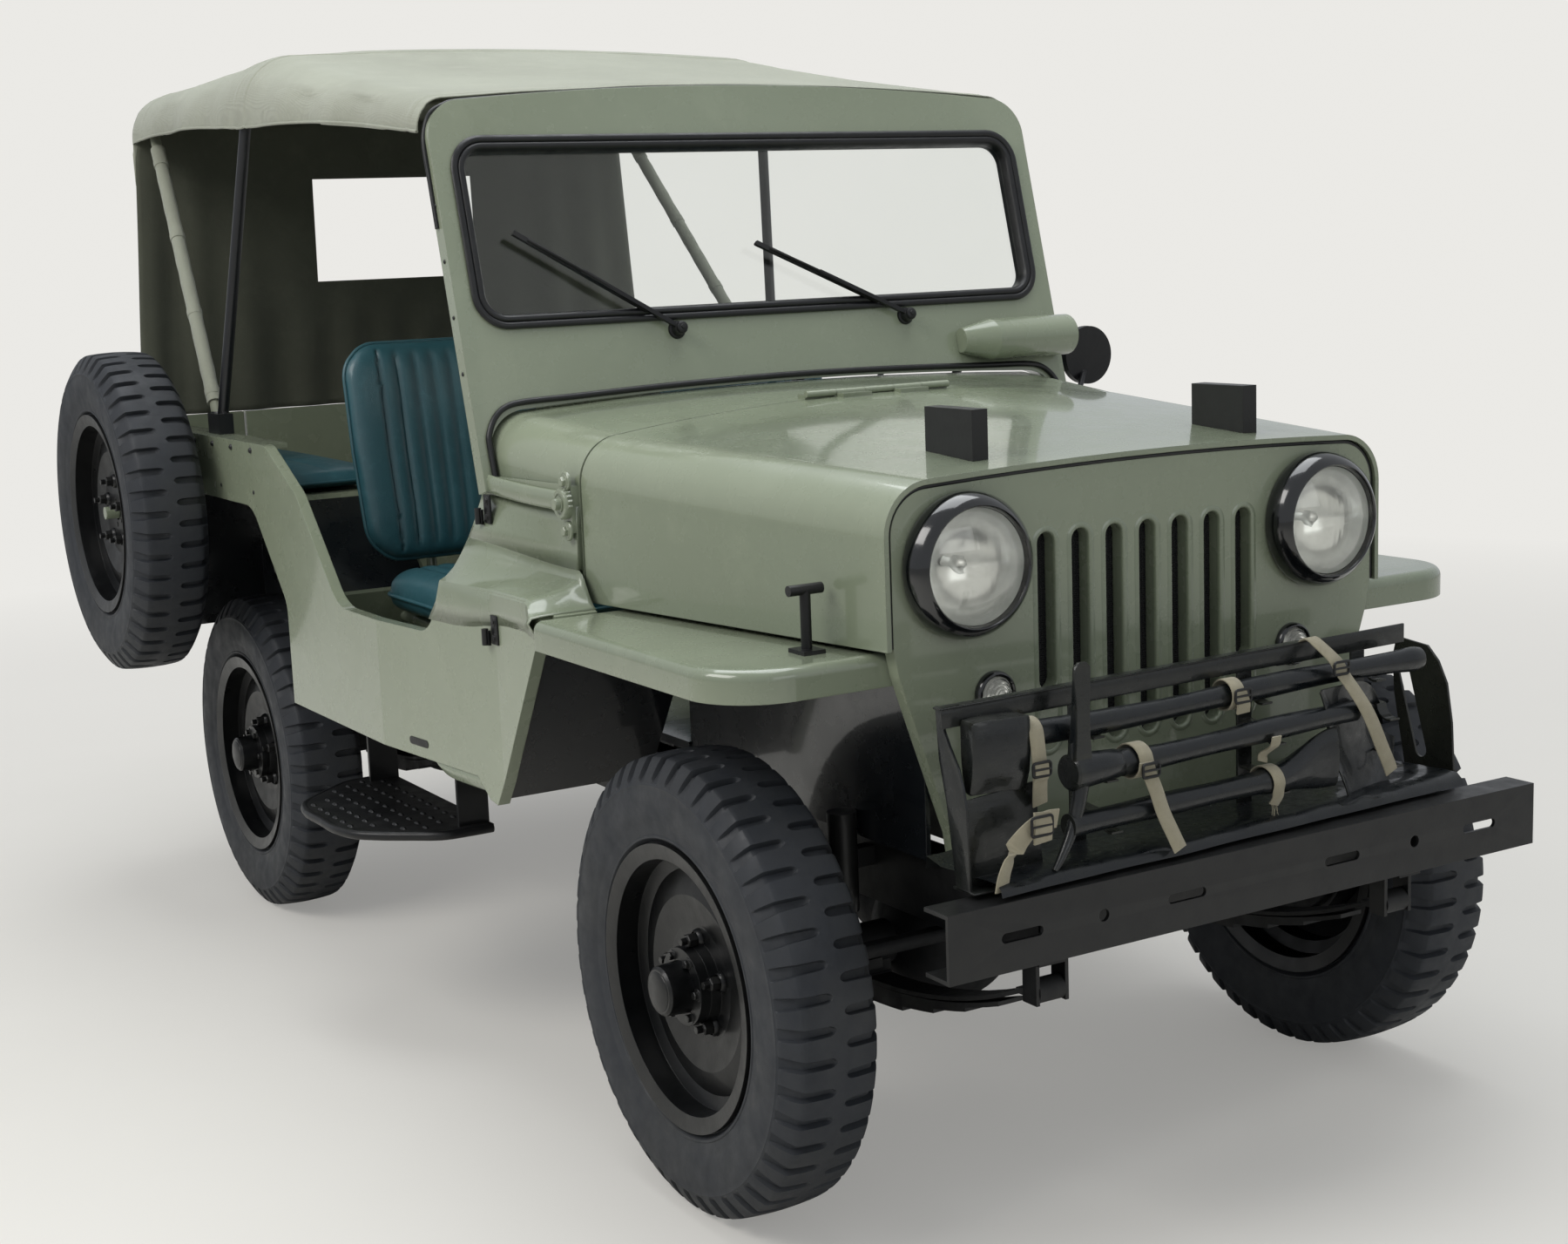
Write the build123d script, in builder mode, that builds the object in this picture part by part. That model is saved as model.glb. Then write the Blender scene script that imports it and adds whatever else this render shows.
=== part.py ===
from build123d import *
import os
from math import cos, radians, sin, sqrt

# Open army 4x4 car with a canvas canopy. Millimetres, +Z up, +X to the car's left, the front faces -Y.
# The origin is on the ground under the middle of the overall box.

os.makedirs("parts", exist_ok=True)

# Wheels and axles
FRONT_AXLE_Y = -1100.0
WHEELBASE = 2034.0
TRACK = 1226.0
TYRE_R = 355.0
TYRE_W = 165.0
RIM_R = 221.0
RIM_W = 128.0
BEAD_R = 203.0
SPARE_X = -867.0
SPARE_OFF = 2180.0
SPARE_Z = 915.0
KINGPIN_IN = 113.0
KINGPIN_X = TRACK / 2 - KINGPIN_IN
AXLE_TUBE_R = 35.0
BALL_R = 66.0
HUB_R = 42.0
DRUM_R = 125.0
RUNNING_GAP = 0.3
CLEAR = 6.0

# Frame rails
RAIL_OUT = 371.5
RAIL_W = 45.0
RAIL_H = 107.0
RAIL_T = 5.0
RAIL_TOP = 560.0
RAIL_FRONT_OFF = -490.0
RAIL_REAR_OFF = 2640.0
CROSS_T = 60.0
SPRING_X = 338.0
SPRING_W = 44.5
SPRING_T = 7.0
SPRING_HALF = 460.0
SPRING_RISE = 95.0

# Bumper
BUMPER_OFF = -545.0
BUMPER_HALF = 562.0
BUMPER_H = 97.0
BUMPER_D = 55.0
BUMPER_T = 6.0
BUMPER_TOP = 577.0

# Body
BODY_HALF = 745.0
NOSE_HALF = 700.0
BEND_OFF = 560.0
WIDE_OFF = 1000.0
WALL = 22.0
BODY_BOTTOM = 565.0
FLOOR_TOP = 615.0
FLOOR_T = 15.0
DECK_TOP = 1088.0
SILL_TOP = 800.0
COWL_LOW = 887.0
SEAM_OFF = 430.0
DASH_OFF = 742.0
DASH_T = 18.0
BODY_REAR_OFF = 2655.0
ARCH_TOP = 955.0
ARCH_FRONT_OFF = 1500.0
ARCH_REAR_OFF = 2560.0
WHEELHOUSE_X = 450.0
TAILGATE_HALF = 440.0

# Grille, hood and cowl
GRILLE_OFF = -290.0
GRILLE_T = 25.0
HOOD_HALF = 478.0
HOOD_LOW = 883.0
HOOD_TOP = 1122.0
HOOD_CROWN = 10.0
HOOD_CORNER = 78.0
HOOD_T = 8.0
SEAM_HALF = 590.0
SEAM_TOP = 1155.0
SEAM_CROWN = 34.0
DASH_HALF = 622.0
DASH_TOP = 1182.0
DASH_CROWN = 16.0
FENDER_TOP = 876.0
FENDER_OUT = 722.0
FENDER_LIP = 48.0
FENDER_T = 8.0
APRON_X = 390.0
SLOT_COUNT = 7
SLOT_PITCH = 64.0
SLOT_W = 33.0
SLOT_TOP = 1026.0
SLOT_LOW = 700.0
HEAD_X = 342.0
HEAD_Z = 994.0
HEAD_LENS_R = 84.0
HEAD_RING_R = 107.0
PARK_X = 292.0
PARK_Z = 799.0
PARK_R = 31.0

# Windscreen
RAKE = 14.5
SCREEN_HALF = 645.0
SCREEN_OFF = 748.0
SCREEN_FOOT_Z = 1150.0
SCREEN_T = 32.0
SCREEN_TOP_V = 590.0
SCREEN_ARCH = 22.0
SCREEN_LOW_V = -110.0
PANE_HALF = 612.0
PANE_LOW_V = 172.0
PANE_TOP_V = 517.0
PANE_CORNER = 62.0
SEAL_W = 24.0
BEAD = 3.0
ARM_LOW = 1044.0
ARM_H = 32.0
GLASS_T = 6.0

# Canopy and bows
ROOF_T = 8.0
BOW_R = 12.0
BOW_FOOT_OFF = 1980.0
BOW_FOOT_X = 705.0
FRONT_BOW_OFF = 1845.0
ROOF_TOP = 1905.0
ROOF_SIDE = 1735.0
ROOF_HALF = 662.0
ROOF_CORNER = 130.0
CURTAIN_OFF = 2672.0
CURTAIN_LOW = 1095.0
WINDOW_HALF = 215.0
WINDOW_LOW = 1400.0
WINDOW_TOP = 1655.0

# Seats
SEAT_X = 365.0
SEAT_W = 420.0
SEAT_FRONT_OFF = 1010.0
SEAT_REAR_OFF = 1445.0
SEAT_Z = 735.0
SEAT_CUSHION_H = 105.0
SEAT_BACK_TOP = 1290.0
SEAT_BACK_T = 80.0
SEAT_LEAN = 9.0

# Steering
WHEEL_HUB_OFF = 1010.0
WHEEL_HUB_Z = 1135.0
WHEEL_X = 365.0
WHEEL_R = 205.0
COLUMN_TILT = 37.0
ARM_LENGTH = 175.0
TIE_ROD_R = 14.0


def at(offset):
    return FRONT_AXLE_Y + offset


def prism(plane, points, amount, mode=Mode.ADD):
    with BuildSketch(plane) as face:
        with BuildLine():
            Polyline(*points, close=True)
        make_face()
    extrude(face.sketch, amount=amount, mode=mode)


def block(low, high, mode=Mode.ADD):
    middle = [(a + b) / 2 for a, b in zip(low, high)]
    size = [b - a for a, b in zip(low, high)]
    with Locations(tuple(middle)):
        Box(*size, mode=mode)


def rod(start, end, radius, mode=Mode.ADD):
    start = Vector(*start)
    end = Vector(*end)
    with BuildSketch(Plane(origin=start, z_dir=end - start)) as face:
        Circle(radius)
    extrude(face.sketch, amount=(end - start).length, mode=mode)


def write(name, part):
    part.label = name
    export_step(part, "parts/" + name + ".step")


GRILLE_Y = at(GRILLE_OFF)
SEAM_Y = at(SEAM_OFF)
DASH_Y = at(DASH_OFF)
REAR_AXLE_Y = at(WHEELBASE)
BODY_REAR_Y = at(BODY_REAR_OFF)
AXLE_Z = TYRE_R
RAIL_LOW = RAIL_TOP - RAIL_H
RAIL_IN = RAIL_OUT - RAIL_W

# Tyres: one revolved casing each with its lugs' outer radius
WHEELS = (
    # name, side (-1 is the car's right), x, y, z
    ("front_right", -1, -TRACK / 2, FRONT_AXLE_Y, AXLE_Z),
    ("front_left", 1, TRACK / 2, FRONT_AXLE_Y, AXLE_Z),
    ("rear_right", -1, -TRACK / 2, REAR_AXLE_Y, AXLE_Z),
    ("rear_left", 1, TRACK / 2, REAR_AXLE_Y, AXLE_Z),
    ("spare", -1, SPARE_X, at(SPARE_OFF), SPARE_Z),
)
half_tyre = TYRE_W / 2
half_rim = RIM_W / 2
TYRE_SECTION = (
    # across, radius
    (-half_rim + 2, BEAD_R + 0.5),
    (half_rim - 2, BEAD_R + 0.5),
    (half_rim + 1, RIM_R + 1),
    (half_rim + 12, RIM_R + 8),
    (half_tyre, RIM_R + 58),
    (half_tyre - 4, TYRE_R - 28),
    (half_tyre - 16, TYRE_R - 6),
    (half_tyre - 26, TYRE_R),
    (-half_tyre + 26, TYRE_R),
    (-half_tyre + 16, TYRE_R - 6),
    (-half_tyre + 4, TYRE_R - 28),
    (-half_tyre, RIM_R + 58),
    (-half_rim - 12, RIM_R + 8),
    (-half_rim - 1, RIM_R + 1),
)
# Rim with its drop centre, disc and hub, from the outer flange inwards
RIM_SECTION = (
    (half_rim + 12, RIM_R),
    (half_rim + 2, RIM_R),
    (half_rim - 1, BEAD_R),
    (half_rim - 34, BEAD_R),
    (half_rim - 42, BEAD_R - 22),
    (-half_rim + 42, BEAD_R - 22),
    (-half_rim + 34, BEAD_R),
    (-half_rim + 1, BEAD_R),
    (-half_rim - 2, RIM_R),
    (-half_rim - 12, RIM_R),
    (-half_rim - 6, BEAD_R - 7),
    (-half_rim + 32, BEAD_R - 7),
    (-half_rim + 40, BEAD_R - 29),
    (12, BEAD_R - 29),
    (30, 140),
    (22, 118),
    (22, HUB_R - 24),
    (28, HUB_R - 24),
    (28, 92),
    (36, 136),
    (26, BEAD_R - 29),
    (half_rim - 40, BEAD_R - 29),
    (half_rim - 32, BEAD_R - 7),
    (half_rim + 6, BEAD_R - 7),
)
HUB_SECTION = (
    (28, 0),
    (28, 66),
    (44, 62),
    (44, HUB_R),
    (96, HUB_R - 4),
    (100, 34),
    (100, 0),
)
DRUM_SECTION = (
    (22, HUB_R - 22),
    (22, 110),
    (14, DRUM_R),
    (-36, DRUM_R),
    (-36, DRUM_R - 8),
    (4, DRUM_R - 8),
    (4, HUB_R - 22),
)


def lathe(side, centre, section):
    plane = Plane(origin=centre, x_dir=(side, 0, 0), z_dir=(0, -side, 0))
    with BuildSketch(plane) as face:
        with BuildLine():
            Polyline(*section, close=True)
        make_face()
    revolve(face.sketch, axis=Axis(centre, (1, 0, 0)))


for name, side, x, y, z in WHEELS:
    centre = (x, y, z)
    with BuildPart() as tyre:
        lathe(side, centre, TYRE_SECTION)
    write("tyre_" + name, tyre.part)

    with BuildPart() as wheel:
        lathe(side, centre, RIM_SECTION)
        if name != "spare":
            lathe(side, centre, HUB_SECTION)
            lathe(side, centre, DRUM_SECTION)
    write("wheel_" + name, wheel.part)

# Chassis: two channel rails, cross members, spring hangers, drawbar plate
with BuildPart() as chassis_frame:
    for side in (-1, 1):
        rail = (
            (side * RAIL_OUT, RAIL_LOW),
            (side * RAIL_OUT, RAIL_TOP),
            (side * RAIL_IN, RAIL_TOP),
            (side * RAIL_IN, RAIL_TOP - RAIL_T),
            (side * (RAIL_OUT - RAIL_T), RAIL_TOP - RAIL_T),
            (side * (RAIL_OUT - RAIL_T), RAIL_LOW + RAIL_T),
            (side * RAIL_IN, RAIL_LOW + RAIL_T),
            (side * RAIL_IN, RAIL_LOW),
        )
        prism(Plane.XZ.offset(-at(RAIL_FRONT_OFF)), rail, RAIL_FRONT_OFF - RAIL_REAR_OFF)
    member_half = RAIL_OUT - RAIL_T / 2
    for offset in (-430.0, 1080.0, 1560.0):
        block(
            (-member_half, at(offset), RAIL_LOW + RAIL_T + 12),
            (member_half, at(offset) + CROSS_T, RAIL_TOP - RAIL_T - 12),
        )
    block(
        (-RAIL_OUT - 90, at(RAIL_REAR_OFF) - CROSS_T, RAIL_LOW),
        (RAIL_OUT + 90, at(RAIL_REAR_OFF), RAIL_TOP - 2),
    )
    # drawbar plate with its pin hole
    block((-60, at(RAIL_REAR_OFF) - 20, RAIL_LOW + 20), (60, at(RAIL_REAR_OFF) + 105, RAIL_LOW + 36))
    with Locations((0, at(RAIL_REAR_OFF) + 65, RAIL_LOW + 28)):
        Cylinder(13, 40, mode=Mode.SUBTRACT)
    # spring hangers under the rails
    for side in (-1, 1):
        for axle_y in (FRONT_AXLE_Y, REAR_AXLE_Y):
            for end in (-1, 1):
                eye_y = axle_y + end * SPRING_HALF
                for cheek in (-1, 1):
                    inner = side * SPRING_X + cheek * (SPRING_W / 2 + RUNNING_GAP + 3)
                    block(
                        (inner - 3, eye_y - 16, RAIL_LOW - 62),
                        (inner + 3, eye_y + 16, RAIL_LOW + RAIL_T),
                    )
                rod(
                    (side * SPRING_X - SPRING_W / 2 - 3, eye_y, RAIL_LOW - 45),
                    (side * SPRING_X + SPRING_W / 2 + 3, eye_y, RAIL_LOW - 45),
                    7,
                )
write("chassis_frame", chassis_frame.part)

# Leaf springs: a stack of arched leaves under each axle
EYE_Z = RAIL_LOW - 45
SPRING_LOW_Z = EYE_Z - SPRING_RISE
with BuildPart() as leaf_springs:
    for side in (-1, 1):
        for axle_y in (FRONT_AXLE_Y, REAR_AXLE_Y):
            left = side * SPRING_X - SPRING_W / 2
            for leaf, reach in enumerate((1.0, 0.82, 0.64, 0.46, 0.28)):
                half = SPRING_HALF * reach - (22 if leaf == 0 else 0)
                rise = SPRING_RISE * reach * reach
                low = SPRING_LOW_Z - leaf * SPRING_T
                with BuildSketch(Plane.YZ.offset(left)) as face:
                    with BuildLine():
                        ThreePointArc((axle_y - half, low + rise), (axle_y, low), (axle_y + half, low + rise))
                        Line((axle_y + half, low + rise), (axle_y + half, low + rise - SPRING_T))
                        ThreePointArc(
                            (axle_y + half, low + rise - SPRING_T),
                            (axle_y, low - SPRING_T),
                            (axle_y - half, low + rise - SPRING_T),
                        )
                        Line((axle_y - half, low + rise - SPRING_T), (axle_y - half, low + rise))
                    make_face()
                extrude(face.sketch, amount=SPRING_W)
            block(
                (left - 2, axle_y - 32, SPRING_LOW_Z - 5 * SPRING_T - 6),
                (left + SPRING_W + 2, axle_y + 32, SPRING_LOW_Z + 3),
            )
            for end in (-1, 1):
                eye_y = axle_y + end * SPRING_HALF
                rod((left, eye_y, EYE_Z), (left + SPRING_W, eye_y, EYE_Z), 18)
                block(
                    (left, min(eye_y, eye_y - end * 40), EYE_Z - 12),
                    (left + SPRING_W, max(eye_y, eye_y - end * 40), EYE_Z - 4),
                )
                rod(
                    (left - 1, eye_y, EYE_Z),
                    (left + SPRING_W + 1, eye_y, EYE_Z),
                    7 + RUNNING_GAP,
                    Mode.SUBTRACT,
                )
write("leaf_springs", leaf_springs.part)

# Axles: tube, offset differential and spring pads
DIFF_X = -190.0
NOSE_REACH = 190.0
AXLES = (
    # name, y, half length of the tube
    ("front_axle", FRONT_AXLE_Y, KINGPIN_X - 50),
    ("rear_axle", REAR_AXLE_Y, TRACK / 2 - 50),
)
for name, axle_y, reach in AXLES:
    with BuildPart() as axle:
        rod((-reach, axle_y, AXLE_Z), (reach, axle_y, AXLE_Z), AXLE_TUBE_R)
        with Locations((DIFF_X, axle_y, AXLE_Z)):
            Sphere(118)
        nose = 1 if axle_y == FRONT_AXLE_Y else -1
        rod((DIFF_X, axle_y, AXLE_Z), (DIFF_X, axle_y + nose * NOSE_REACH, AXLE_Z), 48)
        for side in (-1, 1):
            pad_top = AXLE_Z - 20
            block(
                (side * SPRING_X - 24, axle_y - 30, SPRING_LOW_Z + 3),
                (side * SPRING_X + 24, axle_y + 30, pad_top),
            )
            if name == "front_axle":
                with Locations((side * KINGPIN_X, axle_y, AXLE_Z)):
                    Sphere(BALL_R - 2)
            else:
                rod((side * (reach - 5), axle_y, AXLE_Z), (side * (reach + 6), axle_y, AXLE_Z), DRUM_R - 12)
                spindle_end = (side * (TRACK / 2 + 20), axle_y, AXLE_Z)
                rod((side * reach, axle_y, AXLE_Z), spindle_end, HUB_R - 22 - RUNNING_GAP)
    write(name, axle.part)

# Steering knuckles: a cup round the axle's ball, king pins, spindle, backing plate and arm
ARM_Z = AXLE_Z + 35
EYE_H = 20.0
STUD_R = 7.7
CUP_T = 12.0
CUP_EDGE = -8.0
SPINDLE_END = KINGPIN_IN + 20
PLATE_IN = KINGPIN_IN - 52
PLATE_OUT = KINGPIN_IN - 43
for name, side in (("knuckle_right", -1), ("knuckle_left", 1)):
    centre = (side * KINGPIN_X, FRONT_AXLE_Y, AXLE_Z)
    cup_r = BALL_R + CUP_T
    half_way = sqrt(0.5)
    foot_r = sqrt(cup_r**2 - PLATE_IN**2)
    spindle_r = HUB_R - 22 - RUNNING_GAP
    with BuildPart() as knuckle:
        plane = Plane(origin=centre, x_dir=(side, 0, 0), z_dir=(0, -side, 0))
        with BuildSketch(plane) as face:
            with BuildLine():
                ThreePointArc(
                    (CUP_EDGE, sqrt(BALL_R**2 - CUP_EDGE**2)),
                    (BALL_R * half_way, BALL_R * half_way),
                    (BALL_R, 0),
                )
                Polyline(
                    (BALL_R, 0),
                    (SPINDLE_END, 0),
                    (SPINDLE_END, spindle_r),
                    (PLATE_OUT, spindle_r),
                    (PLATE_OUT, DRUM_R - 12),
                    (PLATE_IN, DRUM_R - 12),
                    (PLATE_IN, foot_r),
                )
                ThreePointArc(
                    (PLATE_IN, foot_r),
                    (cup_r * 0.3, cup_r * sqrt(1 - 0.3**2)),
                    (CUP_EDGE, sqrt(cup_r**2 - CUP_EDGE**2)),
                )
                Line((CUP_EDGE, sqrt(cup_r**2 - CUP_EDGE**2)), (CUP_EDGE, sqrt(BALL_R**2 - CUP_EDGE**2)))
            make_face()
        revolve(face.sketch, axis=Axis(centre, (1, 0, 0)))
        for low in (BALL_R + 4, -cup_r - 16):
            rod((centre[0], centre[1], AXLE_Z + low), (centre[0], centre[1], AXLE_Z + low + 24), 24)
        block(
            (centre[0] - 15, FRONT_AXLE_Y - ARM_LENGTH, ARM_Z),
            (centre[0] + 15, FRONT_AXLE_Y - BALL_R + 4, ARM_Z + 12),
        )
        end_y = FRONT_AXLE_Y - ARM_LENGTH
        rod((centre[0], end_y, ARM_Z), (centre[0], end_y, ARM_Z + 12), 18)
        rod((centre[0], end_y, ARM_Z + 4), (centre[0], end_y, ARM_Z + 18 + EYE_H), STUD_R)
    write(name, knuckle.part)

# Tie rod between the two arms' studs
tie_z = ARM_Z + 12 + RUNNING_GAP + EYE_H / 2
tie_y = FRONT_AXLE_Y - ARM_LENGTH
with BuildPart() as tie_rod:
    rod((-KINGPIN_X, tie_y, tie_z), (KINGPIN_X, tie_y, tie_z), TIE_ROD_R)
    for side in (-1, 1):
        with Locations((side * KINGPIN_X, tie_y, tie_z)):
            Cylinder(20, EYE_H)
    reach = KINGPIN_X + 30
    block((-reach, tie_y - 30, tie_z - 40), (reach, tie_y + 30, tie_z - EYE_H / 2), Mode.SUBTRACT)
    block((-reach, tie_y - 30, tie_z + EYE_H / 2), (reach, tie_y + 30, tie_z + 40), Mode.SUBTRACT)
    for side in (-1, 1):
        with Locations((side * KINGPIN_X, tie_y, tie_z)):
            Cylinder(STUD_R + RUNNING_GAP, 3 * EYE_H, mode=Mode.SUBTRACT)
write("tie_rod", tie_rod.part)


def panel(plane, corners, amount, mode=Mode.ADD):
    # corners: along, up, corner radius
    with BuildSketch(plane) as face:
        with BuildLine():
            Polyline(*[(along, up) for along, up, _ in corners], close=True)
        make_face()
        for along, up, radius in corners:
            if radius:
                fillet(face.vertices().sort_by_distance((along, up, 0))[0], radius)
    extrude(face.sketch, amount=amount, mode=mode)


def arch(plane, half, low, top, crown, corner):
    bend = corner * (1 - sqrt(0.5))
    with BuildSketch(plane) as face:
        with BuildLine():
            Line((-half, low), (-half, top - corner))
            ThreePointArc((-half, top - corner), (-half + bend, top - bend), (-half + corner, top))
            ThreePointArc((-half + corner, top), (0, top + crown), (half - corner, top))
            ThreePointArc((half - corner, top), (half - bend, top - bend), (half, top - corner))
            Line((half, top - corner), (half, low))
            Line((half, low), (-half, low))
        make_face()
    return face.sketch


def cross(y):
    return Plane.XZ.offset(-y)


# Body sides: one outline each, bent in plan towards the nose
SIDE_OUTLINE = (
    # offset from the front axle, height, corner radius
    (372.0, 868.0, 0),
    (586.0, 524.0, 0),
    (610.0, 530.0, 0),
    (650.0, BODY_BOTTOM, 0),
    (ARCH_FRONT_OFF, BODY_BOTTOM, 0),
    (ARCH_FRONT_OFF, 770.0, 60),
    (1680.0, ARCH_TOP, 90),
    (2400.0, ARCH_TOP, 90),
    (ARCH_REAR_OFF, 790.0, 60),
    (ARCH_REAR_OFF, BODY_BOTTOM, 0),
    (BODY_REAR_OFF, BODY_BOTTOM, 0),
    (BODY_REAR_OFF, DECK_TOP, 0),
    (1570.0, DECK_TOP, 90),
    (1400.0, 1000.0, 60),
    (1200.0, SILL_TOP, 120),
    (800.0, SILL_TOP, 60),
    (DASH_OFF, COWL_LOW, 20),
    (400.0, COWL_LOW, 0),
)
DECK_W = 60.0
DECK_T = 12.0


def plan_wall(side, outer_gap, inner_gap):
    return (
        (side * (NOSE_HALF - outer_gap), at(300)),
        (side * (NOSE_HALF - outer_gap), at(BEND_OFF)),
        (side * (BODY_HALF - outer_gap), at(WIDE_OFF)),
        (side * (BODY_HALF - outer_gap), BODY_REAR_Y),
        (side * (BODY_HALF - inner_gap), BODY_REAR_Y),
        (side * (BODY_HALF - inner_gap), at(WIDE_OFF)),
        (side * (NOSE_HALF - inner_gap), at(BEND_OFF)),
        (side * (NOSE_HALF - inner_gap), at(300)),
    )


for name, side in (("body_side_right", -1), ("body_side_left", 1)):
    with BuildPart() as body_side:
        outline = [(at(offset), z, radius) for offset, z, radius in SIDE_OUTLINE]
        panel(Plane.YZ.offset(side * (NOSE_HALF - 100)), outline, side * (BODY_HALF - NOSE_HALF + 110))
        prism(Plane.XY.offset(500), plan_wall(side, 0, WALL), 650, Mode.INTERSECT)
        inner = side * (BODY_HALF - DECK_W)
        outer = side * (BODY_HALF - WALL / 2)
        block(
            (min(inner, outer), at(1600), DECK_TOP - DECK_T),
            (max(inner, outer), BODY_REAR_Y - WALL, DECK_TOP),
        )
    write(name, body_side.part)

# Tub floor with the wheelhouses, the sloping nose plates and the rear corner panels
HOUSE_T = 12.0
HOUSE_BEND_Z = 770.0
HOUSE_TOP_OFF = 1680.0
INNER_NOSE = NOSE_HALF - WALL
INNER_HALF = BODY_HALF - WALL
TAILGATE_GAP = 6.0
HINGE_Z = FLOOR_TOP + TAILGATE_GAP
HINGE_Y = BODY_REAR_Y + 8
HINGE_R = 7.0
BED_RISE = 3.0
BED_HALF = WHEELHOUSE_X - HOUSE_T - 30
with BuildPart() as tub_floor:
    floor_plan = (
        (-INNER_NOSE, at(575)),
        (-APRON_X - 12, at(575)),
        (-APRON_X - 12, at(446)),
        (APRON_X + 12, at(446)),
        (APRON_X + 12, at(575)),
        (INNER_NOSE, at(575)),
        (INNER_HALF, at(WIDE_OFF)),
        (INNER_HALF, BODY_REAR_Y),
        (-INNER_HALF, BODY_REAR_Y),
        (-INNER_HALF, at(WIDE_OFF)),
    )
    prism(Plane.XY.offset(FLOOR_TOP - FLOOR_T), floor_plan, FLOOR_T)
    house = (
        (at(ARCH_FRONT_OFF) - HOUSE_T, FLOOR_TOP - FLOOR_T),
        (at(ARCH_FRONT_OFF) - HOUSE_T, HOUSE_BEND_Z + 5),
        (at(HOUSE_TOP_OFF) - 5, ARCH_TOP + HOUSE_T),
        (at(ARCH_REAR_OFF) + HOUSE_T, ARCH_TOP + HOUSE_T),
        (at(ARCH_REAR_OFF) + HOUSE_T, FLOOR_TOP - FLOOR_T),
    )
    hollow = (
        (at(ARCH_FRONT_OFF), FLOOR_TOP - FLOOR_T - 10),
        (at(ARCH_FRONT_OFF), HOUSE_BEND_Z),
        (at(HOUSE_TOP_OFF), ARCH_TOP),
        (at(ARCH_REAR_OFF), ARCH_TOP),
        (at(ARCH_REAR_OFF), FLOOR_TOP - FLOOR_T - 10),
    )
    for side in (-1, 1):
        inner = side * WHEELHOUSE_X
        prism(Plane.YZ.offset(inner - side * HOUSE_T), house, side * (INNER_HALF - WHEELHOUSE_X + HOUSE_T))
        prism(Plane.YZ.offset(inner), hollow, side * 300, Mode.SUBTRACT)
    for side in (-1, 1):
        # sloping plate behind the front wheel
        nose = (
            (at(372) + 10, 868),
            (at(372) + 22, 868),
            (at(586) + 22, 530),
            (at(586) + 10, 530),
        )
        prism(Plane.YZ.offset(side * (APRON_X + 12)), nose, side * (INNER_NOSE - APRON_X - 12))
        # rear corner
        inner = side * (TAILGATE_HALF + TAILGATE_GAP)
        outer = side * INNER_HALF
        block(
            (min(inner, outer), BODY_REAR_Y - WALL, BODY_BOTTOM),
            (max(inner, outer), BODY_REAR_Y, DECK_TOP),
        )
        for x in (side * 300 - 44.5, side * 300 + 44.5):
            block((x - 14, BODY_REAR_Y - 5, BODY_BOTTOM + 30), (x + 14, HINGE_Y + 4, HINGE_Z))
            rod((x - 14, HINGE_Y, HINGE_Z), (x + 14, HINGE_Y, HINGE_Z), HINGE_R)
    block((-INNER_HALF, BODY_REAR_Y - WALL, BODY_BOTTOM), (INNER_HALF, BODY_REAR_Y, FLOOR_TOP))
    # pressed bed plate between the wheelhouses
    bed = (
        (-BED_HALF, at(ARCH_FRONT_OFF) + 20, 30),
        (BED_HALF, at(ARCH_FRONT_OFF) + 20, 30),
        (BED_HALF, at(ARCH_REAR_OFF), 30),
        (-BED_HALF, at(ARCH_REAR_OFF), 30),
    )
    panel(Plane.XY.offset(FLOOR_TOP), bed, BED_RISE)
    # body supports down to the frame rails
    for side in (-1, 1):
        for offset in (640.0, 1260.0, 2600.0):
            x = side * (RAIL_OUT - RAIL_W / 2)
            block((x - 20, at(offset), RAIL_TOP), (x + 20, at(offset) + 40, FLOOR_TOP - FLOOR_T))
write("tub_floor", tub_floor.part)

# Tailgate
with BuildPart() as tailgate:
    block(
        (-TAILGATE_HALF, BODY_REAR_Y - WALL, HINGE_Z),
        (TAILGATE_HALF, BODY_REAR_Y, DECK_TOP),
    )
    for x in (-300, 300):
        block((x - 30, BODY_REAR_Y - 2, HINGE_Z), (x + 30, HINGE_Y, HINGE_Z + 24))
        rod((x - 30, HINGE_Y, HINGE_Z), (x + 30, HINGE_Y, HINGE_Z), HINGE_R)
write("tailgate", tailgate.part)

# Hood: a tapering shell, open below and at both ends, with its two rest blocks
HOOD_FRONT_Y = GRILLE_Y - 5
HOOD_REAR_Y = SEAM_Y - CLEAR / 2
HOOD_PIN_R = 6.0
HOOD_PIN_Z = SEAM_TOP + SEAM_CROWN + HOOD_PIN_R
KNUCKLE_W = 60.0


def hinge_leaf(middle, edge, reach):
    # one knuckle of the hood hinge with its leaf on the sheet's edge
    low = middle - KNUCKLE_W / 2 + RUNNING_GAP / 2
    high = middle + KNUCKLE_W / 2 - RUNNING_GAP / 2
    rod((low, SEAM_Y, HOOD_PIN_Z), (high, SEAM_Y, HOOD_PIN_Z), HOOD_PIN_R)
    block((low, min(edge, edge + reach), HOOD_PIN_Z - 9), (high, max(edge, edge + reach), HOOD_PIN_Z - 1))


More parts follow.
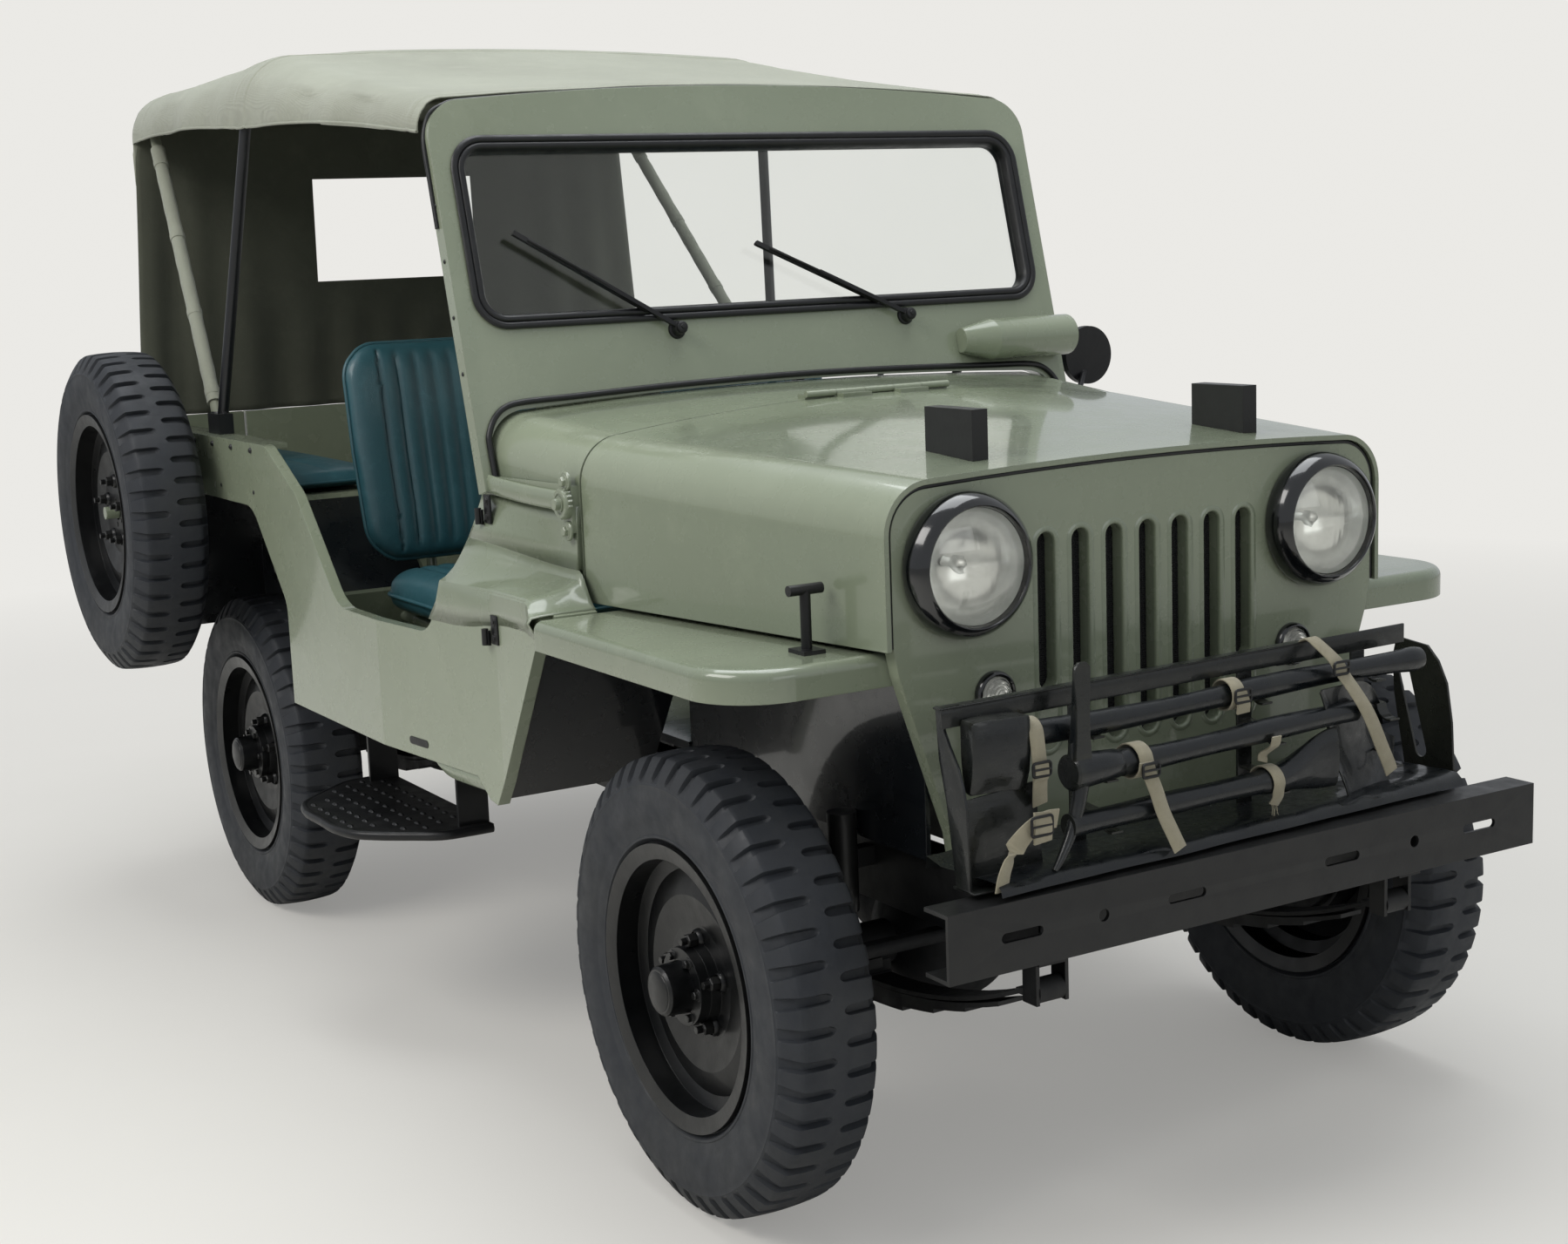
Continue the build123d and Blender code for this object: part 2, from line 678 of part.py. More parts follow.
with BuildPart() as hood:
    front = arch(cross(HOOD_FRONT_Y), HOOD_HALF, HOOD_LOW, HOOD_TOP, HOOD_CROWN, HOOD_CORNER)
    rear = arch(cross(HOOD_REAR_Y), SEAM_HALF, HOOD_LOW, SEAM_TOP, SEAM_CROWN, HOOD_CORNER)
    loft((front, rear), ruled=True)
    front = arch(
        cross(HOOD_FRONT_Y),
        HOOD_HALF - HOOD_T,
        HOOD_LOW - 1,
        HOOD_TOP - HOOD_T,
        HOOD_CROWN,
        HOOD_CORNER - HOOD_T,
    )
    rear = arch(
        cross(HOOD_REAR_Y),
        SEAM_HALF - HOOD_T,
        HOOD_LOW - 1,
        SEAM_TOP - HOOD_T,
        SEAM_CROWN,
        HOOD_CORNER - HOOD_T,
    )
    loft((front, rear), ruled=True, mode=Mode.SUBTRACT)
    for number in (-1, 1):
        hinge_leaf(number * KNUCKLE_W, HOOD_REAR_Y, -24)
write("hood", hood.part)

# Cowl: the same section carried back to the windscreen, with the dash and the firewall
FIREWALL_Y = at(446)
ARM_FRONT_Y = SEAM_Y + 38
LEDGE_OUT = NOSE_HALF + (BODY_HALF - NOSE_HALF) * (DASH_OFF - BEND_OFF) / (WIDE_OFF - BEND_OFF)
FENDER_REAR_OFF = 372.0
COLUMN_R = 19.0
COLUMN_SLOPE = sin(radians(COLUMN_TILT)) / cos(radians(COLUMN_TILT))
COLUMN_AT_600 = WHEEL_HUB_Z - (WHEEL_HUB_OFF - 600) * COLUMN_SLOPE
with BuildPart() as cowl:
    seam = arch(cross(SEAM_Y + CLEAR / 2), SEAM_HALF, COWL_LOW, SEAM_TOP, SEAM_CROWN, HOOD_CORNER)
    dash = arch(cross(DASH_Y), DASH_HALF, COWL_LOW, DASH_TOP, DASH_CROWN, HOOD_CORNER)
    loft((seam, dash), ruled=True)
    seam = arch(
        cross(SEAM_Y + CLEAR / 2),
        SEAM_HALF - HOOD_T,
        COWL_LOW - 1,
        SEAM_TOP - HOOD_T,
        SEAM_CROWN,
        HOOD_CORNER - HOOD_T,
    )
    dash = arch(
        cross(DASH_Y),
        DASH_HALF - HOOD_T,
        COWL_LOW - 1,
        DASH_TOP - HOOD_T,
        DASH_CROWN,
        HOOD_CORNER - HOOD_T,
    )
    loft((seam, dash), ruled=True, mode=Mode.SUBTRACT)
    wall = arch(cross(FIREWALL_Y), SEAM_HALF, COWL_LOW, SEAM_TOP, SEAM_CROWN, HOOD_CORNER)
    extrude(wall, amount=-12)
    board = arch(cross(DASH_Y - DASH_T), DASH_HALF - 4, COWL_LOW + 110, DASH_TOP - 4, DASH_CROWN, HOOD_CORNER)
    extrude(board, amount=-DASH_T)
    # the firewall's lower part, down to the floor
    block((-APRON_X, FIREWALL_Y, FLOOR_TOP), (APRON_X, FIREWALL_Y + 12, COWL_LOW + 10))
    # passage for the steering column
    passage_low = (WHEEL_X, at(380), COLUMN_AT_600 - 220 * COLUMN_SLOPE)
    rod((WHEEL_X, at(600), COLUMN_AT_600), passage_low, COLUMN_R + 5, Mode.SUBTRACT)
    # ledges out to the body sides, sloping down in front to the fenders
    for side in (-1, 1):
        ledge = (
            (side * (SEAM_HALF - 30), SEAM_Y + CLEAR / 2),
            (side * NOSE_HALF, SEAM_Y + CLEAR / 2),
            (side * NOSE_HALF, at(BEND_OFF)),
            (side * LEDGE_OUT, DASH_Y),
            (side * (DASH_HALF - 30), DASH_Y),
        )
        prism(Plane.XY.offset(COWL_LOW), ledge, 10)
        slope = (
            (at(FENDER_REAR_OFF) - 4, FENDER_TOP - 10),
            (at(FENDER_REAR_OFF) - 4, FENDER_TOP),
            (SEAM_Y + CLEAR / 2, COWL_LOW + 10),
            (SEAM_Y + CLEAR / 2 + 8, COWL_LOW + 10),
            (SEAM_Y + CLEAR / 2 + 8, COWL_LOW),
            (SEAM_Y + CLEAR / 2, COWL_LOW),
        )
        inside = side * (SEAM_HALF + 2 * CLEAR)
        prism(Plane.YZ.offset(inside), slope, side * INNER_NOSE - side * RUNNING_GAP - inside)
        # pivot bracket that carries the windscreen's arm
        inner = side * (SEAM_HALF - 6)
        outer = side * (SEAM_HALF + 15)
        block(
            (min(inner, outer), SEAM_Y + CLEAR, ARM_LOW - 46),
            (max(inner, outer), ARM_FRONT_Y - RUNNING_GAP, ARM_LOW + ARM_H),
        )
    for number in (-2, 0, 2):
        hinge_leaf(number * KNUCKLE_W, SEAM_Y + CLEAR / 2, 24)
write("cowl", cowl.part)

# Grille: slotted panel inside the hood's front edge, narrowing towards the bumper
GRILLE_IN = HOOD_T + CLEAR
with BuildPart() as grille:
    half = HOOD_HALF - GRILLE_IN
    crown_top = HOOD_TOP - GRILLE_IN
    face = arch(cross(GRILLE_Y), half, HOOD_LOW, crown_top, HOOD_CROWN, HOOD_CORNER - GRILLE_IN)
    extrude(face, amount=-GRILLE_T)
    lower = (
        (-half, HOOD_LOW),
        (-half + 8, HOOD_LOW - 40),
        (-372, 600),
        (-366, RAIL_TOP),
        (366, RAIL_TOP),
        (372, 600),
        (half - 8, HOOD_LOW - 40),
        (half, HOOD_LOW),
    )
    prism(cross(GRILLE_Y), lower, -GRILLE_T)
    for number in range(SLOT_COUNT):
        x = (number - (SLOT_COUNT - 1) / 2) * SLOT_PITCH
        outer = number in (0, SLOT_COUNT - 1)
        low = SLOT_LOW + (90 if outer else 0)
        with BuildSketch(cross(GRILLE_Y)) as slot:
            with Locations((x, (SLOT_TOP + low) / 2)):
                SlotOverall(SLOT_TOP - low, SLOT_W, rotation=90)
        extrude(slot.sketch, amount=-GRILLE_T, mode=Mode.SUBTRACT)
    for side in (-1, 1):
        for x, z, radius in ((side * HEAD_X, HEAD_Z, HEAD_LENS_R + 2), (side * PARK_X, PARK_Z, PARK_R - 4)):
            rod((x, GRILLE_Y - 1, z), (x, GRILLE_Y + GRILLE_T + 1, z), radius, Mode.SUBTRACT)
write("grille", grille.part)

# Lamps, turned about their own axes: depth from the grille's face, radius
HEAD_SECTION = (
    (0, 0),
    (-42, 0),
    (-36, HEAD_LENS_R * 0.55),
    (-24, HEAD_LENS_R * 0.9),
    (-20, HEAD_LENS_R),
    (-30, HEAD_LENS_R + 6),
    (-26, HEAD_RING_R - 6),
    (-12, HEAD_RING_R),
    (-0.3, HEAD_RING_R - 2),
    (-0.3, HEAD_LENS_R + 1),
    (50, HEAD_LENS_R + 1),
    (95, HEAD_LENS_R - 30),
    (95, 0),
)
PARK_SECTION = (
    (-26, 0),
    (-22, PARK_R * 0.6),
    (-12, PARK_R - 6),
    (-12, PARK_R),
    (-0.3, PARK_R + 3),
    (-0.3, PARK_R - 5),
    (30, PARK_R - 5),
    (30, 0),
)


def lamp(x, y, z, section):
    plane = Plane(origin=(x, y, z), x_dir=(0, 1, 0), z_dir=(1, 0, 0))
    with BuildSketch(plane) as face:
        with BuildLine():
            Polyline(*section, close=True)
        make_face()
    revolve(face.sketch, axis=Axis((x, y, z), (0, 1, 0)))


with BuildPart() as headlights:
    for side in (-1, 1):
        lamp(side * HEAD_X, GRILLE_Y, HEAD_Z, HEAD_SECTION)
write("headlights", headlights.part)
with BuildPart() as parking_lamps:
    for side in (-1, 1):
        lamp(side * PARK_X, GRILLE_Y, PARK_Z, PARK_SECTION)
write("parking_lamps", parking_lamps.part)
TAIL_X = 620.0
TAIL_Z = 770.0
with BuildPart() as tail_lamps:
    for side in (-1, 1):
        rod((side * TAIL_X, BODY_REAR_Y, TAIL_Z), (side * TAIL_X, BODY_REAR_Y + 42, TAIL_Z), 45)
write("tail_lamps", tail_lamps.part)

# Front fenders with their rolled edge and the apron inside the wheel
SLAB = (
    # across, offset from the front axle, corner radius
    (APRON_X, GRILLE_OFF + GRILLE_T + RUNNING_GAP, 0),
    (FENDER_OUT, GRILLE_OFF + GRILLE_T + RUNNING_GAP, 110),
    (FENDER_OUT, FENDER_REAR_OFF - 6, 14),
    (APRON_X, FENDER_REAR_OFF - 6, 0),
)
for name, side in (("fender_right", -1), ("fender_left", 1)):
    with BuildPart() as fender:
        panel(
            Plane.XY.offset(FENDER_TOP - FENDER_LIP),
            [(side * across, at(offset), radius) for across, offset, radius in SLAB],
            FENDER_LIP,
        )
        top_edges = fender.faces().sort_by(Axis.Z)[-1].edges()
        fillet(top_edges.filter_by(lambda e: abs(e.center().X) > APRON_X + 5), 16)
        panel(
            Plane.XY.offset(FENDER_TOP - FENDER_LIP - 1),
            (
                (side * (APRON_X + FENDER_T), GRILLE_Y + GRILLE_T + FENDER_T, 0),
                (side * (FENDER_OUT - FENDER_T), GRILLE_Y + GRILLE_T + FENDER_T, 102),
                (side * (FENDER_OUT - FENDER_T), at(FENDER_REAR_OFF) - 6 - FENDER_T, 8),
                (side * (APRON_X + FENDER_T), at(FENDER_REAR_OFF) - 6 - FENDER_T, 0),
            ),
            FENDER_LIP + 1 - 17,
            Mode.SUBTRACT,
        )
        inner = side * APRON_X
        block(
            (min(inner, inner + side * FENDER_T), GRILLE_Y + GRILLE_T + 4, RAIL_TOP),
            (max(inner, inner + side * FENDER_T), FIREWALL_Y - 1, FENDER_TOP - 10),
        )
        # foot from the apron on to the frame rail
        block(
            (min(inner + side * 2, side * RAIL_IN), at(-60), RAIL_TOP),
            (max(inner + side * 2, side * RAIL_IN), at(-20), RAIL_TOP + 8),
        )
    write(name, fender.part)

# Hood rest blocks
HOOD_BLOCK_X = 262.0
HOOD_BLOCK_OFF = -170.0
with BuildPart() as hood_blocks:
    for side in (-1, 1):
        with Locations((side * HOOD_BLOCK_X, at(HOOD_BLOCK_OFF), HOOD_TOP + HOOD_CROWN + 20)):
            Box(28, 120, 110)
    ceiling = [
        arch(cross(HOOD_FRONT_Y), HOOD_HALF, HOOD_LOW, HOOD_TOP, HOOD_CROWN, HOOD_CORNER),
        arch(cross(HOOD_REAR_Y), SEAM_HALF, HOOD_LOW, SEAM_TOP, SEAM_CROWN, HOOD_CORNER),
    ]
    loft(ceiling, ruled=True, mode=Mode.SUBTRACT)
write("hood_blocks", hood_blocks.part)

# Windscreen frame in its own raked plane
rake_sin = sin(radians(RAKE))
rake_cos = cos(radians(RAKE))
SCREEN = Plane(origin=(0, at(SCREEN_OFF), SCREEN_FOOT_Z), x_dir=(1, 0, 0), z_dir=(0, -rake_cos, rake_sin))
SEAL_HALF = PANE_HALF - SEAL_W


def pane(half, low, top, corner):
    return (
        (-half, low, corner),
        (half, low, corner),
        (half, top, corner),
        (-half, top, corner),
    )


with BuildPart() as windscreen_frame:
    with BuildSketch(SCREEN) as face:
        with BuildLine():
            Line((-SCREEN_HALF, SCREEN_LOW_V), (-SCREEN_HALF, SCREEN_TOP_V - 80))
            ThreePointArc(
                (-SCREEN_HALF, SCREEN_TOP_V - 80),
                (-SCREEN_HALF + 22, SCREEN_TOP_V - 24),
                (-SCREEN_HALF + 75, SCREEN_TOP_V - 4),
            )
            ThreePointArc(
                (-SCREEN_HALF + 75, SCREEN_TOP_V - 4),
                (0, SCREEN_TOP_V + SCREEN_ARCH),
                (SCREEN_HALF - 75, SCREEN_TOP_V - 4),
            )
            ThreePointArc(
                (SCREEN_HALF - 75, SCREEN_TOP_V - 4),
                (SCREEN_HALF - 22, SCREEN_TOP_V - 24),
                (SCREEN_HALF, SCREEN_TOP_V - 80),
            )
            Line((SCREEN_HALF, SCREEN_TOP_V - 80), (SCREEN_HALF, SCREEN_LOW_V))
            Line((SCREEN_HALF, SCREEN_LOW_V), (-SCREEN_HALF, SCREEN_LOW_V))
        make_face()
    extrude(face.sketch, amount=SCREEN_T)
    hole = pane(PANE_HALF, PANE_LOW_V, PANE_TOP_V, PANE_CORNER)
    panel(SCREEN.offset(-1), hole, SCREEN_T + 2, Mode.SUBTRACT)
    # cut round the cowl's shoulders
    notch = arch(cross(at(600)), DASH_HALF + BEAD, COWL_LOW - 100, DASH_TOP + BEAD, DASH_CROWN, HOOD_CORNER)
    extrude(notch, amount=-400, mode=Mode.SUBTRACT)
    # arms forward along the cowl to the pivots
    for side in (-1, 1):
        arm = (
            (side * (SEAM_HALF + BEAD + 2), ARM_FRONT_Y),
            (side * (DASH_HALF + BEAD - 1), DASH_Y - 20),
            (side * (DASH_HALF + BEAD + 9), DASH_Y - 20),
            (side * (SEAM_HALF + BEAD + 12), ARM_FRONT_Y),
        )
        prism(Plane.XY.offset(ARM_LOW), arm, ARM_H)
write("windscreen_frame", windscreen_frame.part)
with BuildPart() as windscreen_seal:
    panel(SCREEN.offset(-6), pane(PANE_HALF, PANE_LOW_V, PANE_TOP_V, PANE_CORNER), SCREEN_T + 12)
    panel(
        SCREEN.offset(-8),
        pane(PANE_HALF - SEAL_W, PANE_LOW_V + SEAL_W, PANE_TOP_V - SEAL_W, PANE_CORNER - SEAL_W),
        SCREEN_T + 16,
        Mode.SUBTRACT,
    )
write("windscreen_seal", windscreen_seal.part)
with BuildPart() as windscreen_glass:
    panel(
        SCREEN.offset(SCREEN_T / 2 - GLASS_T / 2),
        pane(PANE_HALF - SEAL_W, PANE_LOW_V + SEAL_W, PANE_TOP_V - SEAL_W, PANE_CORNER - SEAL_W),
        GLASS_T,
    )
write("windscreen_glass", windscreen_glass.part)

# Canopy: roof shell over three arches and the rear curtain with its window
screen_top_y = at(SCREEN_OFF) + (SCREEN_TOP_V + SCREEN_ARCH) * rake_sin
screen_top_z = SCREEN_FOOT_Z + (SCREEN_TOP_V + SCREEN_ARCH) * rake_cos
ROOF = (
    # y, half width, side edge height, shoulder height, crown, shoulder radius
    (screen_top_y + 2, SCREEN_HALF + 8, screen_top_z - 70, screen_top_z - 8, 22.0, 60.0),
    (at(FRONT_BOW_OFF), ROOF_HALF, ROOF_SIDE, ROOF_TOP - 14, 14.0, ROOF_CORNER),
    (at(CURTAIN_OFF), ROOF_HALF, ROOF_SIDE + 15, ROOF_TOP - 40, 14.0, ROOF_CORNER - 20),
)
with BuildPart() as canopy:
    loft(
        [
            arch(cross(y), half, low, top, crown, corner)
            for y, half, low, top, crown, corner in ROOF
        ],
        ruled=True,
    )
    loft(
        [
            arch(cross(y), half - ROOF_T, low - 1, top - ROOF_T, crown, corner - ROOF_T)
            for y, half, low, top, crown, corner in ROOF
        ],
        ruled=True,
        mode=Mode.SUBTRACT,
    )
    rear_y, rear_half, rear_low, rear_top, rear_crown, rear_corner = ROOF[-1]
    curtain = arch(cross(rear_y - ROOF_T), rear_half, rear_low - 1, rear_top, rear_crown, rear_corner)
    extrude(curtain, amount=-ROOF_T)
    flap = (
        (-rear_half, rear_low + 5),
        (-rear_half - 35, CURTAIN_LOW),
        (rear_half + 35, CURTAIN_LOW),
        (rear_half, rear_low + 5),
    )
    prism(cross(rear_y - ROOF_T), flap, -ROOF_T)
    block((-WINDOW_HALF, rear_y - 60, WINDOW_LOW), (WINDOW_HALF, rear_y + 60, WINDOW_TOP), Mode.SUBTRACT)
write("canopy", canopy.part)

# Bows: two bent tubes that share a foot on each body side
BOW_GAP = 6.0
BOW_HALF = ROOF_HALF - ROOF_T - BOW_R - BOW_GAP - 14
bow_top = ROOF_TOP - 14 - ROOF_T - BOW_R - BOW_GAP
FOOT_Z = DECK_TOP + 28
BOW_BEND = 118.0
BOWS = (
    # foot offset, shoulder offset, shoulder half width, shoulder height
    (BOW_FOOT_OFF - 14, FRONT_BOW_OFF, BOW_HALF, bow_top),
    (BOW_FOOT_OFF + 14, CURTAIN_OFF - 40, BOW_HALF, bow_top - 30),
)
with BuildPart() as canopy_bows:
    for foot_off, top_off, half, top_z in BOWS:
        with BuildLine() as path:
            FilletPolyline(
                (-BOW_FOOT_X, at(foot_off), FOOT_Z),
                (-half, at(top_off), top_z),
                (half, at(top_off), top_z),
                (BOW_FOOT_X, at(foot_off), FOOT_Z),
                radius=BOW_BEND,
            )
        with BuildSketch(Plane(origin=path.line @ 0, z_dir=path.line % 0)) as ring:
            Circle(BOW_R)
        sweep(ring.sketch, path=path.line)
    for side in (-1, 1):
        block(
            (side * BOW_FOOT_X - 16, at(BOW_FOOT_OFF) - 40, DECK_TOP),
            (side * BOW_FOOT_X + 16, at(BOW_FOOT_OFF) + 40, FOOT_Z + 16),
        )
write("canopy_bows", canopy_bows.part)

# Front seats: cushion and back of each seat on a tube frame; the backs lean to the rear
SEATS = (-SEAT_X, SEAT_X)
lean_sin = sin(radians(SEAT_LEAN))
lean_cos = cos(radians(SEAT_LEAN))
BACK_FOOT_Z = SEAT_Z + SEAT_CUSHION_H
with BuildPart() as seat_cushions:
    for x in SEATS:
        with Locations((x, at((SEAT_FRONT_OFF + SEAT_REAR_OFF) / 2), SEAT_Z + SEAT_CUSHION_H / 2)):
            Box(SEAT_W, SEAT_REAR_OFF - SEAT_FRONT_OFF, SEAT_CUSHION_H)
    fillet(seat_cushions.edges().filter_by(Axis.Z), 60)
write("seat_cushions", seat_cushions.part)
with BuildPart() as seat_backs:
    for x in SEATS:
        tilt = Plane(
            origin=(x, at(SEAT_REAR_OFF) + 8, BACK_FOOT_Z),
            x_dir=(1, 0, 0),
            z_dir=(0, -lean_cos, lean_sin),
        )
        height = (SEAT_BACK_TOP - BACK_FOOT_Z) / lean_cos
        back = (
            (-SEAT_W / 2 + 10, 0, 40),
            (SEAT_W / 2 - 10, 0, 40),
            (SEAT_W / 2, height, 70),
            (-SEAT_W / 2, height, 70),
        )
        panel(tilt, back, -SEAT_BACK_T)
write("seat_backs", seat_backs.part)
FRAME_TUBE_R = 11.0
with BuildPart() as seat_frames:
    for x in SEATS:
        for side in (-1, 1):
            leg_x = x + side * (SEAT_W / 2 - 60)
            front_y = at(SEAT_FRONT_OFF) + 70
            rear_y = at(SEAT_REAR_OFF) - 40
            rail_z = SEAT_Z - FRAME_TUBE_R - RUNNING_GAP
            rod((leg_x, front_y - 40, rail_z), (leg_x, rear_y + 40, rail_z), FRAME_TUBE_R)
            rod((leg_x, front_y, FLOOR_TOP), (leg_x, front_y, rail_z), FRAME_TUBE_R - 1)
            rod((leg_x, rear_y, FLOOR_TOP), (leg_x, rear_y, rail_z), FRAME_TUBE_R - 1)
        rod((x - SEAT_W / 2 + 60, front_y, rail_z), (x + SEAT_W / 2 - 60, front_y, rail_z), FRAME_TUBE_R - 2)
        rod((x - SEAT_W / 2 + 60, rear_y, rail_z), (x + SEAT_W / 2 - 60, rear_y, rail_z), FRAME_TUBE_R - 2)
        # tubes behind the back, clear of the wheelhouse
        behind = SEAT_BACK_T + FRAME_TUBE_R + RUNNING_GAP
        foot_y = at(SEAT_REAR_OFF) + 8 + behind * lean_cos
        foot_z = BACK_FOOT_Z - behind * lean_sin
        drop = (foot_z - rail_z) / lean_cos
        climb = (SEAT_BACK_TOP - BACK_FOOT_Z) / lean_cos - 90
        for tube_x in (x - 150 if x > 0 else x + 150, x + 45 if x > 0 else x - 45):
            low_y = foot_y - drop * lean_sin
            rod((tube_x, rear_y, rail_z), (tube_x, low_y, rail_z), FRAME_TUBE_R)
            rod(
                (tube_x, low_y, rail_z),
                (tube_x, foot_y + climb * lean_sin, foot_z + climb * lean_cos),
                FRAME_TUBE_R,
            )
write("seat_frames", seat_frames.part)

# Rear side cushions on the wheelhouses
SIDE_PAD_H = 55.0
with BuildPart() as side_cushions:
    for side in (-1, 1):
        inner = side * (WHEELHOUSE_X - HOUSE_T + 4)
        outer = side * (BODY_HALF - DECK_W - 8)
        block(
            (min(inner, outer), at(HOUSE_TOP_OFF) + 20, ARCH_TOP + HOUSE_T + RUNNING_GAP),
            (max(inner, outer), at(ARCH_REAR_OFF) - 60, ARCH_TOP + HOUSE_T + SIDE_PAD_H),
        )
    fillet(side_cushions.edges().filter_by(Axis.Z), 25)
write("side_cushions", side_cushions.part)

# Steering column from the gear on the left rail up to the wheel
tilt_sin = sin(radians(COLUMN_TILT))
tilt_cos = cos(radians(COLUMN_TILT))
HUB = Vector(WHEEL_X, at(WHEEL_HUB_OFF), WHEEL_HUB_Z)
AXIS_UP = Vector(0, tilt_cos, tilt_sin)
GEAR_DROP = 900.0
BOSS_DEPTH = 28.0
gear = HUB - AXIS_UP * GEAR_DROP
with BuildPart() as steering_column:
    top = HUB - AXIS_UP * 70
    rod(tuple(gear), tuple(top), COLUMN_R)
    rod(tuple(HUB - AXIS_UP * 110), tuple(HUB - AXIS_UP * (BOSS_DEPTH + RUNNING_GAP)), 9)
    block((RAIL_IN + 6, gear.Y - 50, RAIL_TOP), (APRON_X - CLEAR, gear.Y + 50, RAIL_TOP + 60))
write("steering_column", steering_column.part)
RIM_TUBE_R = 10.0
WHEEL_PLANE = Plane(origin=HUB, x_dir=(1, 0, 0), z_dir=AXIS_UP)
with BuildPart() as steering_wheel:
    with BuildSketch(Plane(origin=HUB + Vector(WHEEL_R, 0, 0), x_dir=(1, 0, 0), z_dir=(0, -tilt_sin, tilt_cos))) as ring:
        Circle(RIM_TUBE_R)
    revolve(ring.sketch, axis=Axis(HUB, AXIS_UP))
    rod(tuple(HUB - AXIS_UP * BOSS_DEPTH), tuple(HUB + AXIS_UP * 12), 32)
    rod(tuple(HUB), tuple(HUB + AXIS_UP * 20), 21)
    for angle in (90, 210, 330):
        spoke = Vector(cos(radians(angle)), -tilt_sin * sin(radians(angle)), tilt_cos * sin(radians(angle)))
        rod(tuple(HUB + spoke * 20 - AXIS_UP * 6), tuple(HUB + spoke * (WHEEL_R - 3)), 6)
write("steering_wheel", steering_wheel.part)

# Engine, gearbox with the transfer case, radiator
ENGINE_HALF = 150.0
with BuildPart() as engine:
    block((-ENGINE_HALF, at(-130), RAIL_LOW + 30), (ENGINE_HALF, at(400), 1020))
    for side in (-1, 1):
        block(
            (min(side * 140, side * (RAIL_OUT - 6)), at(90), RAIL_TOP),
            (max(side * 140, side * (RAIL_OUT - 6)), at(150), RAIL_TOP + 14),
        )
write("engine", engine.part)
with BuildPart() as gearbox:
    block((-110, at(400), RAIL_LOW + 20), (110, at(1000), FLOOR_TOP - FLOOR_T - 3))
    block((-260, at(760), RAIL_LOW - 60), (-60, at(960), FLOOR_TOP - FLOOR_T - 20))
    block((-150, at(1000), RAIL_LOW + 20), (150, at(1080), RAIL_LOW + RAIL_H - 30))
write("gearbox", gearbox.part)
with BuildPart() as radiator:
    block((-235, GRILLE_Y + GRILLE_T, RAIL_TOP + 40), (235, GRILLE_Y + GRILLE_T + 62, 1060))
    block((-300, GRILLE_Y + GRILLE_T, RAIL_TOP), (300, GRILLE_Y + GRILLE_T + 40, RAIL_TOP + 42))
write("radiator", radiator.part)

# Drive shafts between the transfer case and the axles' noses, a flange at each end
SHAFT_Z = AXLE_Z + 73
FLANGE_T = 18.0
with BuildPart() as drive_shafts:
    for axle_end, case_end, way in (
        (FRONT_AXLE_Y + NOSE_REACH, at(760), 1),
        (REAR_AXLE_Y - NOSE_REACH, at(960), -1),
    ):
        rod((DIFF_X, axle_end, AXLE_Z), (DIFF_X, axle_end + way * FLANGE_T, AXLE_Z), 42)
        rod((DIFF_X, case_end, SHAFT_Z), (DIFF_X, case_end - way * FLANGE_T, SHAFT_Z), 34)
        rod((DIFF_X, axle_end + way * 9, AXLE_Z), (DIFF_X, case_end - way * 9, SHAFT_Z), 24)
write("drive_shafts", drive_shafts.part)

# Exhaust along the left side, hung from the cross members
EXHAUST_X = 235.0
EXHAUST_Z = RAIL_LOW - 18
with BuildPart() as exhaust:
    rod((EXHAUST_X, at(200), EXHAUST_Z), (EXHAUST_X, at(2570), EXHAUST_Z), 21)
    rod((EXHAUST_X, at(1180), EXHAUST_Z), (EXHAUST_X, at(1540), EXHAUST_Z), 52)
    rod((EXHAUST_X - 60, at(230), 640), (EXHAUST_X, at(230), EXHAUST_Z), 18)
    block((ENGINE_HALF, at(190), 600), (EXHAUST_X - 40, at(270), 680))
    for offset in (1080 + CROSS_T, 1560 + CROSS_T):
        block((EXHAUST_X - 8, at(offset), EXHAUST_Z), (EXHAUST_X + 8, at(offset) + 10, RAIL_TOP - 30))
write("exhaust", exhaust.part)

# Shock absorbers with their brackets on the rails
SHOCK_X = 422.0
SHOCK_R = 23.0
SHOCK_REACH = 70.0
with BuildPart() as shock_absorbers:
    for side in (-1, 1):
        for y in (FRONT_AXLE_Y - SHOCK_REACH, REAR_AXLE_Y + 120):
            rod((side * SHOCK_X, y, AXLE_Z - 10), (side * SHOCK_X, y, AXLE_Z + 110), SHOCK_R - 5)
            rod((side * SHOCK_X, y, AXLE_Z + 90), (side * SHOCK_X, y, RAIL_TOP + 40), SHOCK_R)
            near = side * RAIL_OUT
            far = side * SHOCK_X
            block((min(near, far), y - 12, RAIL_TOP - 50), (max(near, far), y + 12, RAIL_TOP - 20))
            pad = side * (SPRING_X + SPRING_W / 2 + 2)
            block((min(pad, far), y - 10, AXLE_Z - 12), (max(pad, far), y + 10, AXLE_Z + 4))
            toward = 1 if y < FRONT_AXLE_Y else -1
            near_y = (FRONT_AXLE_Y if toward == 1 else REAR_AXLE_Y) - toward * 35
            block(
                (min(pad, pad + side * 14), min(y, near_y), AXLE_Z - 12),
                (max(pad, pad + side * 14), max(y, near_y), AXLE_Z + 4),
            )
write("shock_absorbers", shock_absorbers.part)

